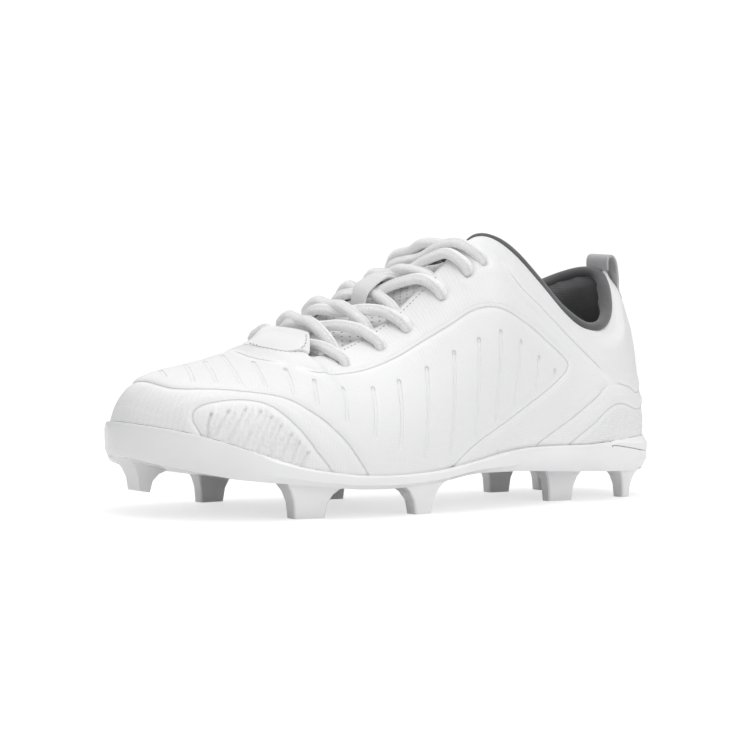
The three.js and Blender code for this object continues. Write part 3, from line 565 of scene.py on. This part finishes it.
def measure(lines, reach):
    """For each point of the skin, its distance to the nearest line and its signed distance, in millimetres."""
    near, side = np.full(len(spots), reach * MM), np.full(len(spots), reach * MM)
    for line in lines:
        run = np.array(line)
        low, high = run.min(0) - reach * MM, run.max(0) + reach * MM
        chosen = np.nonzero(((spots > low) & (spots < high)).all(1))[0]
        here, up = spots[chosen], facing[chosen]
        for a, b in zip(run, run[1:]):
            along = b - a
            if along @ along < 1e-12:
                continue
            share = np.clip((here - a) @ along / (along @ along), 0, 1)
            off = here - a - share[:, None] * along
            far = np.linalg.norm(off, axis=1)
            left = np.einsum("ij,ij->i", np.cross(np.broadcast_to(along, here.shape), off), up)
            closer = far < near[chosen]
            picked = chosen[closer]
            near[picked] = far[closer]
            side[picked] = np.where(left[closer] > 0, 1, -1) * far[closer]
    return near / MM, side / MM


def pillow(side, rise, fall):
    """Swells beside a line, on its left: steep at the line and soft away from it."""
    return np.where(side > 0, (1 - np.exp(-np.maximum(side, 0) / rise)) * np.exp(-np.maximum(side, 0) / fall), 0)


def from_points(points):
    """For each point of the skin, its distance to the nearest of these places, in millimetres."""
    return np.min([np.linalg.norm(spots - np.array(p), axis=1) for p in points], axis=0) / MM


lip_edges = {e for g in top_edge for e in g.edges if skin & set(e.link_faces)}
edge_places = [e.verts[0].co.lerp(e.verts[1].co, k / 6) for e in lip_edges for k in range(7)]


def upper_ends(lines):
    return [max((line[0], line[-1]), key=lambda p: p.z) for line in lines]


SEAM_REACH, OVER_REACH, SLOT_REACH, RIB_REACH, HEEL_REACH = 14, 10, 6, 8, 5
seam_near, seam_side = measure(seams, SEAM_REACH)
over_near, _ = measure(overlays, OVER_REACH)
slot_near, _ = measure(slots, SLOT_REACH)
rib_near, rib_side = measure(ribs, RIB_REACH)
heel_near, heel_side = measure(heel_ribs, HEEL_REACH)
double_near, _ = measure(panels, SEAM_REACH)
free_ends = [end for line in free for end in (line[0], line[-1])] + [min(line, key=lambda p: p.x) for line in panels]
strength = fade(from_points(free_ends), 1, 9)
print("measured", len(spots), "points against", len(seams) + len(slots) + len(ribs) + len(heel_ribs), "lines")

# %% [markdown]
# The pressed grid runs along the shoe and bends round toe and heel, so each point gets a place along a spine
# and one up the side. The heel's back is fuller than the solid, and the skin swells beside its seams and ribs
# and dips in its slots. A painted shadow darkens the skin where it meets the sole's rim.

# %% Grid, swellings and rim
SPINE_FROM, SPINE_TO, BEND = -72, 98, 40
x, y, z = spots.T / MM
on_spine = np.clip(x, SPINE_FROM, SPINE_TO)
off_along, off_across = x - on_spine, y - np.interp(x, *zip(*MIDDLE))
weave_along = on_spine + BEND * np.arctan2(off_along, np.abs(off_across))
weave_up = z - np.hypot(off_along, off_across)
HEEL_FULL = ((38, 0), (46, 0.3), (56, 0.8), (67, 2.8), (75, 3.6), (86, 3.4), (92, 2.9), (100, 2.0), (110, 1.5))
fuller = np.interp(z, *zip(*HEEL_FULL)) * fade(x, 94, 120) * fade(from_points(edge_places), 0, 8)
SEAM_SWELL, RIB_SWELL, HEEL_SWELL, OVER_SWELL = 0.65, 1.5, 0.3, 0.3
SEAM_DIP, RIB_DIP, SLOT_DIP, HEEL_DIP = 0.22, 0.3, 0.3, 0.15
relief = (fuller
          + strength * (SEAM_SWELL * pillow(seam_side, 1.2, 7) - SEAM_DIP * (1 - fade(seam_near, 0, 1.6)))
          + RIB_SWELL * pillow(rib_side, 0.6, 4.0) * fade(seam_near, 0.5, 4) - RIB_DIP * (1 - fade(rib_near, 0, 1.3))
          - SLOT_DIP * (1 - fade(slot_near, 0.4, 1.6)) + OVER_SWELL * (1 - fade(over_near, 0, 4))
          + HEEL_SWELL * pillow(heel_side, 0.6, 2.5) - HEEL_DIP * (1 - fade(heel_near, 0, 1.1)))
sole_tree = BVHTree.FromBMesh(merged_copy("outsole"))
to_sole = np.array([sole_tree.find_nearest(Vector(p))[3] for p in spots]) / MM
# Painted shadow: the skin is darkened within about a millimetre of the sole's rim, more towards the heel.
rim_line = (1 - fade(to_sole, 0.2, 1.1)) * np.interp(x, (-90, -20, 40), (0.12, 0.3, 0.62))
for vertex, shift in zip(skin_mesh.verts, relief):
    vertex.co += vertex.normal * float(shift) * MM
print("relief from %.2f to %.2f mm" % (relief.min(), relief.max()))

# %% [markdown]
# The two meshes become pieces. The distances go onto the skin as attributes, for the leather to read.

# %% Skin and lining pieces
moved_tree = BVHTree.FromBMesh(skin_mesh)
skin_piece = finish_piece("upper_skin", skin_mesh, leather.material)
for name, values in {"seam_near": seam_near, "seam_side": seam_side, "slot_near": slot_near, "rib_near": rib_near,
                     "double": 1 - fade(double_near, 3, 4), "grain": fade(seam_near, 0.5, 2.5),
                     "strength": strength, "slot_top": 1 - fade(from_points(upper_ends(slots)), 0.8, 2.0),
                     "rib_top": from_points(upper_ends(ribs)), "heel_near": heel_near, "rib_side": rib_side,
                     "heel_side": heel_side, "rim_line": rim_line, "weave_along": weave_along,
                     "weave_up": weave_up}.items():
    skin_piece.data.attributes.new(name, "FLOAT", "POINT").data.foreach_set("value", values.astype(np.float32))
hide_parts("upper")
lining_piece = finish_piece("upper_lining", lining_mesh, knit.material)
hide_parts("upper")

# %% [markdown]
# ## The line of the top edge
# Laces, stitches and the padded roll all follow the top edge of the upper. The edge is found once, as the chain
# of mesh edges between the skin and the faces that turn over it.

# %% Top edge
border = [e for e in upper.edges if len(e.link_faces) == 2 and len(top_edge & set(e.link_faces)) == 1
          and len(skin & set(e.link_faces)) == 1]
chain = [border[0].verts[0], border[0].verts[1]]
joins = {}
for e in border:
    for v in e.verts:
        joins.setdefault(v, []).append(e.other_vert(v))
while True:
    following = [v for v in joins[chain[-1]] if v not in chain]
    if not following:
        break
    chain.append(following[0])
while True:
    following = [v for v in joins[chain[0]] if v not in chain]
    if not following:
        break
    chain.insert(0, following[0])
edge_line = [v.co.copy() for v in chain]
gap_left = (edge_line[0] - edge_line[-1]).length / MM
print("top edge:", len(edge_line), "places, its ends", round(gap_left, 1), "mm apart")
LATERAL_HOLES = [p for p in eyelets if p.y < middle_line(p.x)]
MEDIAL_HOLES = [p for p in eyelets if p.y > middle_line(p.x)]
print("eyelets:", len(LATERAL_HOLES), "and", len(MEDIAL_HOLES))


def skin_normal(point):
    return skin_tree.find_nearest(point)[1]


def edge_beside(point, towards_heel=0.0):
    """The place of the top edge nearest to an eyelet, or that far along it towards the heel."""
    nearest = min((p for p in edge_line if (p.y < middle_line(p.x)) == (point.y < middle_line(point.x))),
                  key=lambda p: (p - point - Vector((towards_heel, 0, 0.6 * towards_heel))).length)
    return nearest


# %% [markdown]
# ## Sweeping a tube
# The collar's roll and the laces are tubes of one section along a route. One oval ring is set at each step of
# the route, and each ring is bridged to the next. The rings remember how far along the route they are, so that a
# weave can follow it.

# %% Sweeping a tube
LACE_WIDE, LACE_THICK, LACE_SIDES = 5.8 * MM, 4.7 * MM, 16


def swept(made, route, face_of, wide, thick, sides=LACE_SIDES, taper=lambda share: 1.0):
    """Adds an oval tube along a route, flat towards face_of(place along it, 0 to 1)."""
    along = made.verts.layers.float.get("along") or made.verts.layers.float.new("along")
    around = made.verts.layers.float.get("around") or made.verts.layers.float.new("around")
    rings, travelled = [], 0.0
    for i, point in enumerate(route):
        before, after = route[max(i - 1, 0)], route[min(i + 1, len(route) - 1)]
        ahead = (after - before).normalized()
        travelled += (point - route[i - 1]).length if i else 0
        side = ahead.cross(face_of(i / (len(route) - 1))).normalized()
        up = side.cross(ahead).normalized()
        turn = Matrix((side, up, ahead)).transposed().to_4x4()
        narrow = taper(i / (len(route) - 1))
        size = Matrix.Diagonal((narrow * wide / 2, narrow * thick / 2, 1, 1))
        ring = bmesh.ops.create_circle(made, segments=sides, radius=1,
                                       matrix=Matrix.Translation(point) @ turn @ size)["verts"]
        for k, v in enumerate(ring):
            v[along] = travelled / MM
            v[around] = k / sides
        rings.append(ring)
    for first, second in zip(rings, rings[1:]):
        loops = [e for e in {e for v in first for e in v.link_edges if e.other_vert(v) in first}
                 | {e for v in second for e in v.link_edges if e.other_vert(v) in second}]
        bmesh.ops.bridge_loops(made, edges=loops)
    for ring in (rings[0], rings[-1]):
        bmesh.ops.contextual_create(made, geom=ring)


print("a lace is", LACE_WIDE / MM, "by", LACE_THICK / MM, "mm")

# %% [markdown]
# ## The padded roll
# The collar of the real shoe is foam under a dark knit, and the knit rolls up past the white skin. A fixed
# oval swept along the middle of the wall's top gives that roll. It tapers where the collar turns into the
# throat, so that it slips under the skin there instead of ending in a cut.

# %% Collar roll
ROLL_FROM, ROLL_UP, ROLL_THICK, ROLL_SIDES = 20 * MM, 0.2 * MM, 4.4 * MM, 20
inner_border = [v.co for e in upper.edges if top_edge & set(e.link_faces) and lining & set(e.link_faces)
                for v in e.verts]
collar = [p for p in edge_line if p.x > ROLL_FROM]
wall_middle = []
for p in collar:
    inner = min(inner_border, key=lambda q: (q - p).length)
    swell = 1 + 0.35 * float(fade(p.x / MM, 95, 122))
    wall_middle.append(p.lerp(inner, 0.52 * swell) + Vector((0, 0, ROLL_UP)))
for _ in range(5):
    wall_middle = [wall_middle[0], *((a + 2 * b + c) / 4 if b.x > 95 * MM else b for a, b, c
                                     in zip(wall_middle, wall_middle[1:], wall_middle[2:])), wall_middle[-1]]
roll_route = catmull(wall_middle[::2], 1.5 * MM)
wall = sum((p - m).length for p, m in zip(collar, wall_middle)) / len(collar)
print("collar roll:", len(roll_route), "rings, wall", round(2 * wall / MM, 1), "mm")


def roll_width(share):
    """Narrow where the roll slips under the skin at its ends, and fuller round the heel."""
    from_end = min(share, 1 - share)
    return 0.25 + 0.75 * fade(from_end, 0.0, 0.12) + 0.2 * fade(from_end, 0.33, 0.44)


roll = bmesh.new()
swept(roll, roll_route, lambda share: Vector((0, 0, 1)), 2.0 * wall, ROLL_THICK, ROLL_SIDES, roll_width)
bmesh.ops.recalc_face_normals(roll, faces=roll.faces)
finish_piece("collar_roll", roll, collar_knit.material)

# %% [markdown]
# ## Laces
# A lace here is a soft, nearly round braid of spun yarn. Its weave follows the lace by the attributes that the
# sweep leaves, and a nap of fine fibres lies over it.

# %% Braid
braid = Finish("white_braid", (0.80, 0.80, 0.805), 0.85, Sheen_Weight=0.3, Sheen_Roughness=0.4)
along, around = braid.attribute("along"), braid.attribute("around")
twill = ((along * (TURN / 1.5) + around * (3 * TURN)).sine() * (along * (TURN / 1.5) - around * (3 * TURN)).sine())
nap = braid.noise(0.55)
braid.relief(twill * 0.07 + nap * 0.35)
# Painted shade: the low spots of the nap and the low parts of the twill are darkened.
gap_shade = nap.ramp(0.62, 0.4) * 0.3 + (1 - twill.ramp(-1.0, -0.2)) * 0.1
braid.colour(braid.blend(gap_shade, (0.94, 0.935, 0.94), (0.66, 0.655, 0.66)))
print("braid has", len(braid.tree.nodes), "nodes")


# %% [markdown]
# Each strand comes up from under one edge of the throat, crosses the tongue and goes down through an eyelet of the
# other side. Two strands make a crossing, and the one that ends on the medial side lies on top, as in the
# photograph. The lowest lace runs straight from hole to hole.

# %% Strands
BAR_BOW = -1.8
BOWS = [1.5, 1.2, -0.8, -1.2, 0.8]
RISING = 5 * MM
ABOVE, OVER_EDGE, APART, SUNK = LACE_THICK / 2 + 0.6 * MM, LACE_THICK / 2 + 1.2 * MM, 2.0 * MM, 4.5 * MM
throat_ahead = (LATERAL_HOLES[-1] + MEDIAL_HOLES[-1] - LATERAL_HOLES[0] - MEDIAL_HOLES[0]).normalized()


def facing_out(a, b):
    """Straight out of the throat between two places of its edges."""
    out = throat_ahead.cross(b - a).normalized()
    return out if out.z > 0 else -out


def route_between(start_hole, end_hole, bow, lie, from_hole=False):
    """From under the edge beside one eyelet, over the throat and down through another."""
    start_edge = edge_beside(start_hole, 0.0 if from_hole else RISING)
    end_edge = edge_beside(end_hole)
    start_up, end_up = skin_normal(start_edge), skin_normal(end_edge)
    out = facing_out(start_edge, end_edge)
    low, high = start_edge + start_up * OVER_EDGE, end_edge + end_up * OVER_EDGE

    def over(share, lower=0.0, lay=0.0):
        return low.lerp(high, share) + out * (bow * MM * 4 * share * (1 - share) - lower * MM + lay)

    if from_hole:
        first = [start_hole - skin_normal(start_hole) * SUNK,
                 start_hole + skin_normal(start_hole) * ABOVE * 0.9 + (start_edge - start_hole) * 0.15,
                 start_hole.lerp(start_edge, 0.6) + start_up * ABOVE, over(0.06), over(0.25)]
    else:
        first = [over(0.03, 7.4), over(0.1, 4.4), over(0.21, 0.9)]
    last = [over(0.5, 0, lie), over(0.72), over(0.93),
            end_hole.lerp(end_edge, 0.55) + end_up * ABOVE,
            end_hole + skin_normal(end_hole) * ABOVE * 0.75 + (end_edge - end_hole) * 0.08,
            end_hole - skin_normal(end_hole) * SUNK + (end_hole - end_edge) * 0.1]
    return catmull([*first, *last], 1.6 * MM), out, skin_normal(end_hole)


def strand(made, *arguments, **options):
    route, out, end_up = route_between(*arguments, **options)
    swept(made, route, lambda share: out.lerp(end_up, fade(share, 0.6, 0.9)), LACE_WIDE, LACE_THICK)
    return route


def lace_piece(name, strands):
    made = bmesh.new()
    for arguments, options in strands:
        strand(made, *arguments, **options)
    made.normal_update()
    bmesh.ops.recalc_face_normals(made, faces=made.faces)
    piece = finish_piece(name + "_braid", made, braid.material)
    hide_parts(name)
    return piece


lace_piece("lace_bar", [((MEDIAL_HOLES[0], LATERAL_HOLES[0], BAR_BOW, 0.0), {"from_hole": True})])
for n, bow in enumerate(BOWS, start=1):
    lace_piece(f"lace_cross_{n}", [((MEDIAL_HOLES[n - 1], LATERAL_HOLES[n], bow, -APART), {}),
                                   ((LATERAL_HOLES[n - 1], MEDIAL_HOLES[n], bow, APART), {})])

# %% [markdown]
# ## Sole
# The outsole and the heel wedge are moulded, so their edges are slightly round. The merged copies get a small
# bevel on every sharp edge, and normals that follow the larger faces keep the flats flat.

# %% Moulded rubber
rubber = Finish("glossy_rubber", (0.88, 0.88, 0.885), 0.2, Coat_Weight=0.3, Coat_Roughness=0.12)
rubber.relief(rubber.noise(40.0, 1.0) * 0.25 + rubber.noise(2.2) * 0.012)
rubber.rough(rubber.noise(18.0) * 0.14 + 0.16)
rubber.colour(rubber.blend(rubber.noise(30.0).ramp(0.35, 0.7), (0.89, 0.89, 0.895), (0.86, 0.86, 0.87)))
foam = Finish("white_foam", (0.84, 0.84, 0.85), 0.45, Coat_Weight=0.1)
foam.relief(foam.noise(0.7) * 0.05)
foam.colour(foam.blend(foam.noise(25.0).ramp(0.3, 0.7), (0.90, 0.90, 0.905), (0.88, 0.88, 0.885)))


def moulded(name, new_name, material, width, angle=32):
    """A CAD solid as a moulded piece with round edges."""
    made = merged_copy(name)
    piece = finish_piece(new_name, made, material)
    edge = piece.modifiers.new("round edges", "BEVEL")
    edge.width, edge.segments, edge.limit_method, edge.angle_limit = width, 3, "ANGLE", math.radians(angle)
    edge.use_clamp_overlap = True
    even = piece.modifiers.new("even normals", "WEIGHTED_NORMAL")
    even.keep_sharp = True
    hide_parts(name)
    return piece


moulded("outsole", "outsole_rubber", rubber.material, 0.9 * MM)
moulded("midsole", "heel_wedge", foam.material, 0.4 * MM)

# %% [markdown]
# ## Soft pieces
# The tongue, the tab, the keeper and the insole are sheets with thickness. Each is a merged copy
# whose corners are tightened by a small bevel and then rounded by subdivision.

# %% Textiles
textile = Finish("tongue_mesh", (0.66, 0.66, 0.67), 0.9, Sheen_Weight=0.3)
x, y, z = textile.place()
row = ((x * 0.8 + z * 0.6) * (TURN / 4.6)).sine()
column = (y * (TURN / 4.2)).sine()
hole = (row * column).ramp(0.8, 0.93)
textile.relief(hole * -0.3 + textile.noise(0.7) * 0.06)
# Painted shade: each perforation is coloured dark for the shade inside the hole, over a shallow dent.
textile.colour(textile.blend(hole, (0.8, 0.8, 0.805), (0.3, 0.3, 0.31)))
band = Finish("woven_band", (0.74, 0.74, 0.745), 0.85, Sheen_Weight=0.3)
x, y, z = band.place()
weft = (y * (TURN / 0.9)).sine() * ((x * 0.8 + z * 0.6) * (TURN / 1.1)).sine()
band.relief(weft * 0.06 + band.noise(0.8) * 0.04)
band.colour(band.blend(weft.ramp(-1.0, 0.6), (0.66, 0.66, 0.67), (0.78, 0.78, 0.785)))
tape = Finish("grey_webbing", (0.42, 0.42, 0.43), 0.85, Sheen_Weight=0.4)
x, y, z = tape.place()
ridges = (y * (TURN / 1.6)).sine()
picks = ((x + z) * (TURN / 1.0)).sine()
tape.relief(ridges * 0.12 + ridges * picks * 0.12)
tape.colour(tape.blend((ridges * picks).ramp(-0.8, 0.8), (0.44, 0.44, 0.45), (0.58, 0.58, 0.59)))
soft_leather = Finish("tab_leather", (0.80, 0.80, 0.805), 0.45, Coat_Weight=0.1, Coat_Roughness=0.35)
x, y, z = soft_leather.place()
soft_leather.relief(weave(x, y + z, GRID_PITCH) * 0.03 + soft_leather.noise(0.5) * 0.02)
soft_leather.rough(soft_leather.noise(9.0) * 0.12 + 0.38)


def soft(name, new_name, material, edge, levels=2, shape=None):
    """A CAD sheet as a soft piece: tightened corners, then its own shape, then rounding."""
    made = merged_copy(name)
    sharp = [e for e in made.edges if e.calc_face_angle(0) > math.radians(50)]
    bmesh.ops.bevel(made, geom=sharp, offset=edge, segments=2, profile=0.5, affect="EDGES", material=-1,
                    clamp_overlap=True)
    if shape:
        shape(made)
    piece = finish_piece(new_name, made, material)
    subdivide(piece, levels)
    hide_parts(name)
    return piece


soft("insole", "insole_bed", knit.material, 0.6 * MM, 1)
soft("tongue", "tongue_padded", textile.material, 0.9 * MM)


def sewn_down(made):
    """Lets the tab's front edge down onto the vamp, and draws its far side in."""
    made.normal_update()
    for v in made.verts:
        far = float(fade(v.co.y / MM, 2, 24))
        v.co += Vector((0, -4.4, -2.2)) * MM * far
    fronts = {v: min(w.co.x for w in made.verts if abs(w.co.y - v.co.y) < 2.5 * MM) for v in made.verts}
    for v, front in fronts.items():
        share = 1 - float(fade((v.co.x - front) / MM, 0.5, 9))
        ground, up = skin_tree.find_nearest(v.co)[:2]
        lift = (v.co - ground).dot(up)
        wanted = 0.75 * MM if v.normal.dot(up) > 0.1 else -0.4 * MM
        v.co += up * (wanted - lift) * share


tab = soft("throat_tab", "throat_tab_sheet", soft_leather.material, 0.5 * MM, shape=sewn_down)
tab_surface = bmesh.new()
tab_surface.from_mesh(tab.data)
tab_tree = BVHTree.FromBMesh(tab_surface)
soft("lace_keeper", "keeper_band", band.material, 0.35 * MM)

# %% [markdown]
# ## Pull loop
# The loop is one strip of webbing, sewn in between the padded roll and the skin. It stands up from the roll,
# arches back and is sewn down the outside of the heel. A grid is laid along that path, row by row, its outer
# leg on the heel itself, and solidify gives the strip its thickness.

# %% Strip of webbing
ARCH = [(127.2, 102.5), (127, 104), (126.8, 106), (126.9, 108), (128, 109.7), (130.2, 110.2), (132.2, 109.2),
        (133.6, 107), (134.4, 104), (135, 100.5), (135.4, 97)]
LEG = [94, 91.5, 89.5]
STRIP_WIDE, STRIP_THICK, STRIP_MIDDLE = 14 * MM, 1.2 * MM, 3.4 * MM


def heel_at(y, z):
    """How far back the skin of the heel is there, or just below where it ends."""
    for lower in range(16):
        hit = moved_tree.ray_cast(Vector((0.3, y, z - lower * MM)), Vector((-1, 0, 0)))[0]
        if hit:
            return hit.x
    raise ValueError("no heel")


path_rows = [(x * MM, z * MM, False) for x, z in ARCH] + [(0, z * MM, True) for z in LEG]
strip = bmesh.new()
bmesh.ops.create_grid(strip, x_segments=len(path_rows) - 1, y_segments=6, size=1)
for v in strip.verts:
    row = path_rows[round((v.co.x + 1) / 2 * (len(path_rows) - 1))]
    y = STRIP_MIDDLE + v.co.y * STRIP_WIDE / 2
    x, z, on_heel = row
    round_heel = -0.012 * ((y - STRIP_MIDDLE) / MM) ** 2 * MM
    if on_heel:
        x = heel_at(y, z) + 0.9 * MM
        round_heel = 0
    v.co = (x + round_heel, y, z)
bmesh.ops.recalc_face_normals(strip, faces=strip.faces)
bmesh.ops.solidify(strip, geom=strip.faces[:], thickness=STRIP_THICK)
bmesh.ops.recalc_face_normals(strip, faces=strip.faces)
rims = [e for e in strip.edges if e.calc_face_angle(0) > math.radians(60)]
bmesh.ops.bevel(strip, geom=rims, offset=0.25 * MM, segments=1, profile=0.5, affect="EDGES", material=-1)
loop_piece = finish_piece("pull_loop_webbing", strip, tape.material)
subdivide(loop_piece, 2)
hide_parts("pull_loop")

# %% [markdown]
# ## Stitches
# Rows of stitches run along both edges of the throat and round the tab. Each stitch is a small grain of
# thread that lies on the surface, turned along the row, and a whole row is one mesh.

# %% Rows of stitches
thread = Finish("sewing_thread", (0.55, 0.55, 0.56), 0.75, Sheen_Weight=0.2)
thread.relief(thread.noise(0.3) * 0.05)
thread.colour(thread.blend(thread.noise(1.5), (0.5, 0.5, 0.51), (0.6, 0.6, 0.61)))
LONG, SPACING, PROUD = 1.25 * MM, 2.0 * MM, 0.12 * MM


def stitch_row(made, route, surface):
    """Stitches along a route, laid on a surface."""
    run, since = catmull(route, 0.25 * MM), 0.0
    for a, b in zip(run, run[1:]):
        since += (b - a).length
        if since < SPACING or (b - a).length < 1e-6:
            continue
        since = 0.0
        spot, up = surface.find_nearest(a)[:2]
        ahead = (b - a).normalized()
        side = ahead.cross(up).normalized()
        turn = Matrix((ahead, side, ahead.cross(side).normalized() * -1)).transposed().to_4x4()
        size = Matrix.Diagonal((LONG / 2, 0.3 * MM, 0.28 * MM, 1))
        bmesh.ops.create_uvsphere(made, u_segments=6, v_segments=4, radius=1,
                                  matrix=Matrix.Translation(spot + up * PROUD) @ turn @ size)


def beside_edge(points, inset):
    """A line on the skin, that far below the top edge."""
    found = []
    for before, here, after in zip(points, points[1:], points[2:]):
        down = (after - before).cross(skin_normal(here)).normalized()
        if down.y * (here.y - middle_line(here.x)) < 0:
            down = -down
        found.append(skin_tree.find_nearest(here + down * inset)[0])
    return found


print("stitches", LONG / MM, "mm long, one every", SPACING / MM, "mm")

# %% [markdown]
# The throat's rows follow the top edge. The tab's rows are drawn in the picture, as the mouldings are, and land
# on the tab itself.

# %% Stitches of the throat and the tab
rows = bmesh.new()
throat = [p for p in edge_line if p.x < ROLL_FROM + 6 * MM]
for near_side in (True, False):
    side = sorted((p for p in throat if (p.y < middle_line(p.x)) == near_side), key=lambda p: p.x)
    stitch_row(rows, beside_edge(side[::2], 2.1 * MM), moved_tree)
TAB_FRONT = [(248, 343.5), (262, 347), (280, 351), (296, 355), (306, 357)]
TAB_SIDE = [(306, 355.5), (304.6, 345), (306, 334)]


def on_tab(spot):
    for slip in range(25):
        x, y = (at + (centre - at) * 0.03 * slip for at, centre in zip(spot, (282, 339)))
        hit = tab_tree.ray_cast(eye, sight(x, y))[0]
        if hit:
            return hit
    raise ValueError(f"no tab at {spot}")


for spots in (TAB_FRONT, TAB_SIDE):
    stitch_row(rows, [on_tab(spot) for spot in spots], tab_tree)
finish_piece("stitch_rows", rows, thread.material)

# %% [markdown]
# ## Floor and light
# A white shoe on white paper needs a light that is nearly even, with a little more from above, so that the
# sole and the toe fall a few shades darker than the top. The paper and the sky look plain white to the
# camera, while their light on the shoe is set apart from that, as a photographer flags a backdrop.

# %% Paper
SKY, PAPER, GLOW = 0.47, 0.84, 0.63
ground = Finish("paper", (PAPER, PAPER, PAPER), 0.6)
to_camera = ground.node("ShaderNodeLightPath", {}, {}, "Is Camera Ray")
ground.colour(PAPER - to_camera * (PAPER / 2))
ground.feed(ground.shader.inputs["Emission Color"], to_camera * GLOW)
ground.shader.inputs["Emission Strength"].default_value = 1.0
sheet = bmesh.new()
bmesh.ops.create_grid(sheet, x_segments=1, y_segments=1, size=1.0)
floor = finish_piece("floor", sheet, ground.material)

# %% [markdown]
# The sky is one even white. The camera sees it brighter than it shines on the shoe, so the page stays white
# and the shoe keeps its shading.

# %% Sky
world = bpy.data.worlds.new("studio")
bpy.context.scene.world = world
world.use_nodes = True
sky = world.node_tree.nodes["Background"]
sky.inputs["Color"].default_value = (1, 1, 1, 1)
path = world.node_tree.nodes.new("ShaderNodeLightPath")
level_of = world.node_tree.nodes.new("ShaderNodeMapRange")
level_of.inputs["To Min"].default_value, level_of.inputs["To Max"].default_value = SKY, 1.05
world.node_tree.links.new(path.outputs["Is Camera Ray"], level_of.inputs["Value"])
world.node_tree.links.new(level_of.outputs["Result"], sky.inputs["Strength"])
bpy.context.scene.view_settings.view_transform = "Standard"
print("sky", SKY)

# %% [markdown]
# Four softboxes give the form: a large one above, one at the heel's side, a weak one behind for the far side
# and a weaker one at the toe.

# %% Softboxes
def softbox(name, place, size, power):
    """A square lamp that faces the shoe."""
    light = bpy.data.objects.new(name, bpy.data.lights.new(name, "AREA"))
    bpy.context.scene.collection.objects.link(light)
    light.data.shape = "SQUARE"
    light.data.size, light.data.energy = size, power
    light.location = place
    light.rotation_euler = (Vector((0, 0, 0.05)) - Vector(place)).to_track_quat("-Z", "Y").to_euler()
    return light


TOP, RIGHT, BACK, FRONT = 15.8, 6.4, 3.4, 0.7
softbox("top", (0.0, -0.1, 1.5), 1.6, TOP)
softbox("right", (0.5, -1.5, 0.9), 1.0, RIGHT)
softbox("back", (0.3, 1.4, 1.0), 1.0, BACK)
softbox("front", (-0.9, -1.5, 0.35), 0.8, FRONT)
print("lamps:", TOP, RIGHT, BACK, FRONT, "watts")
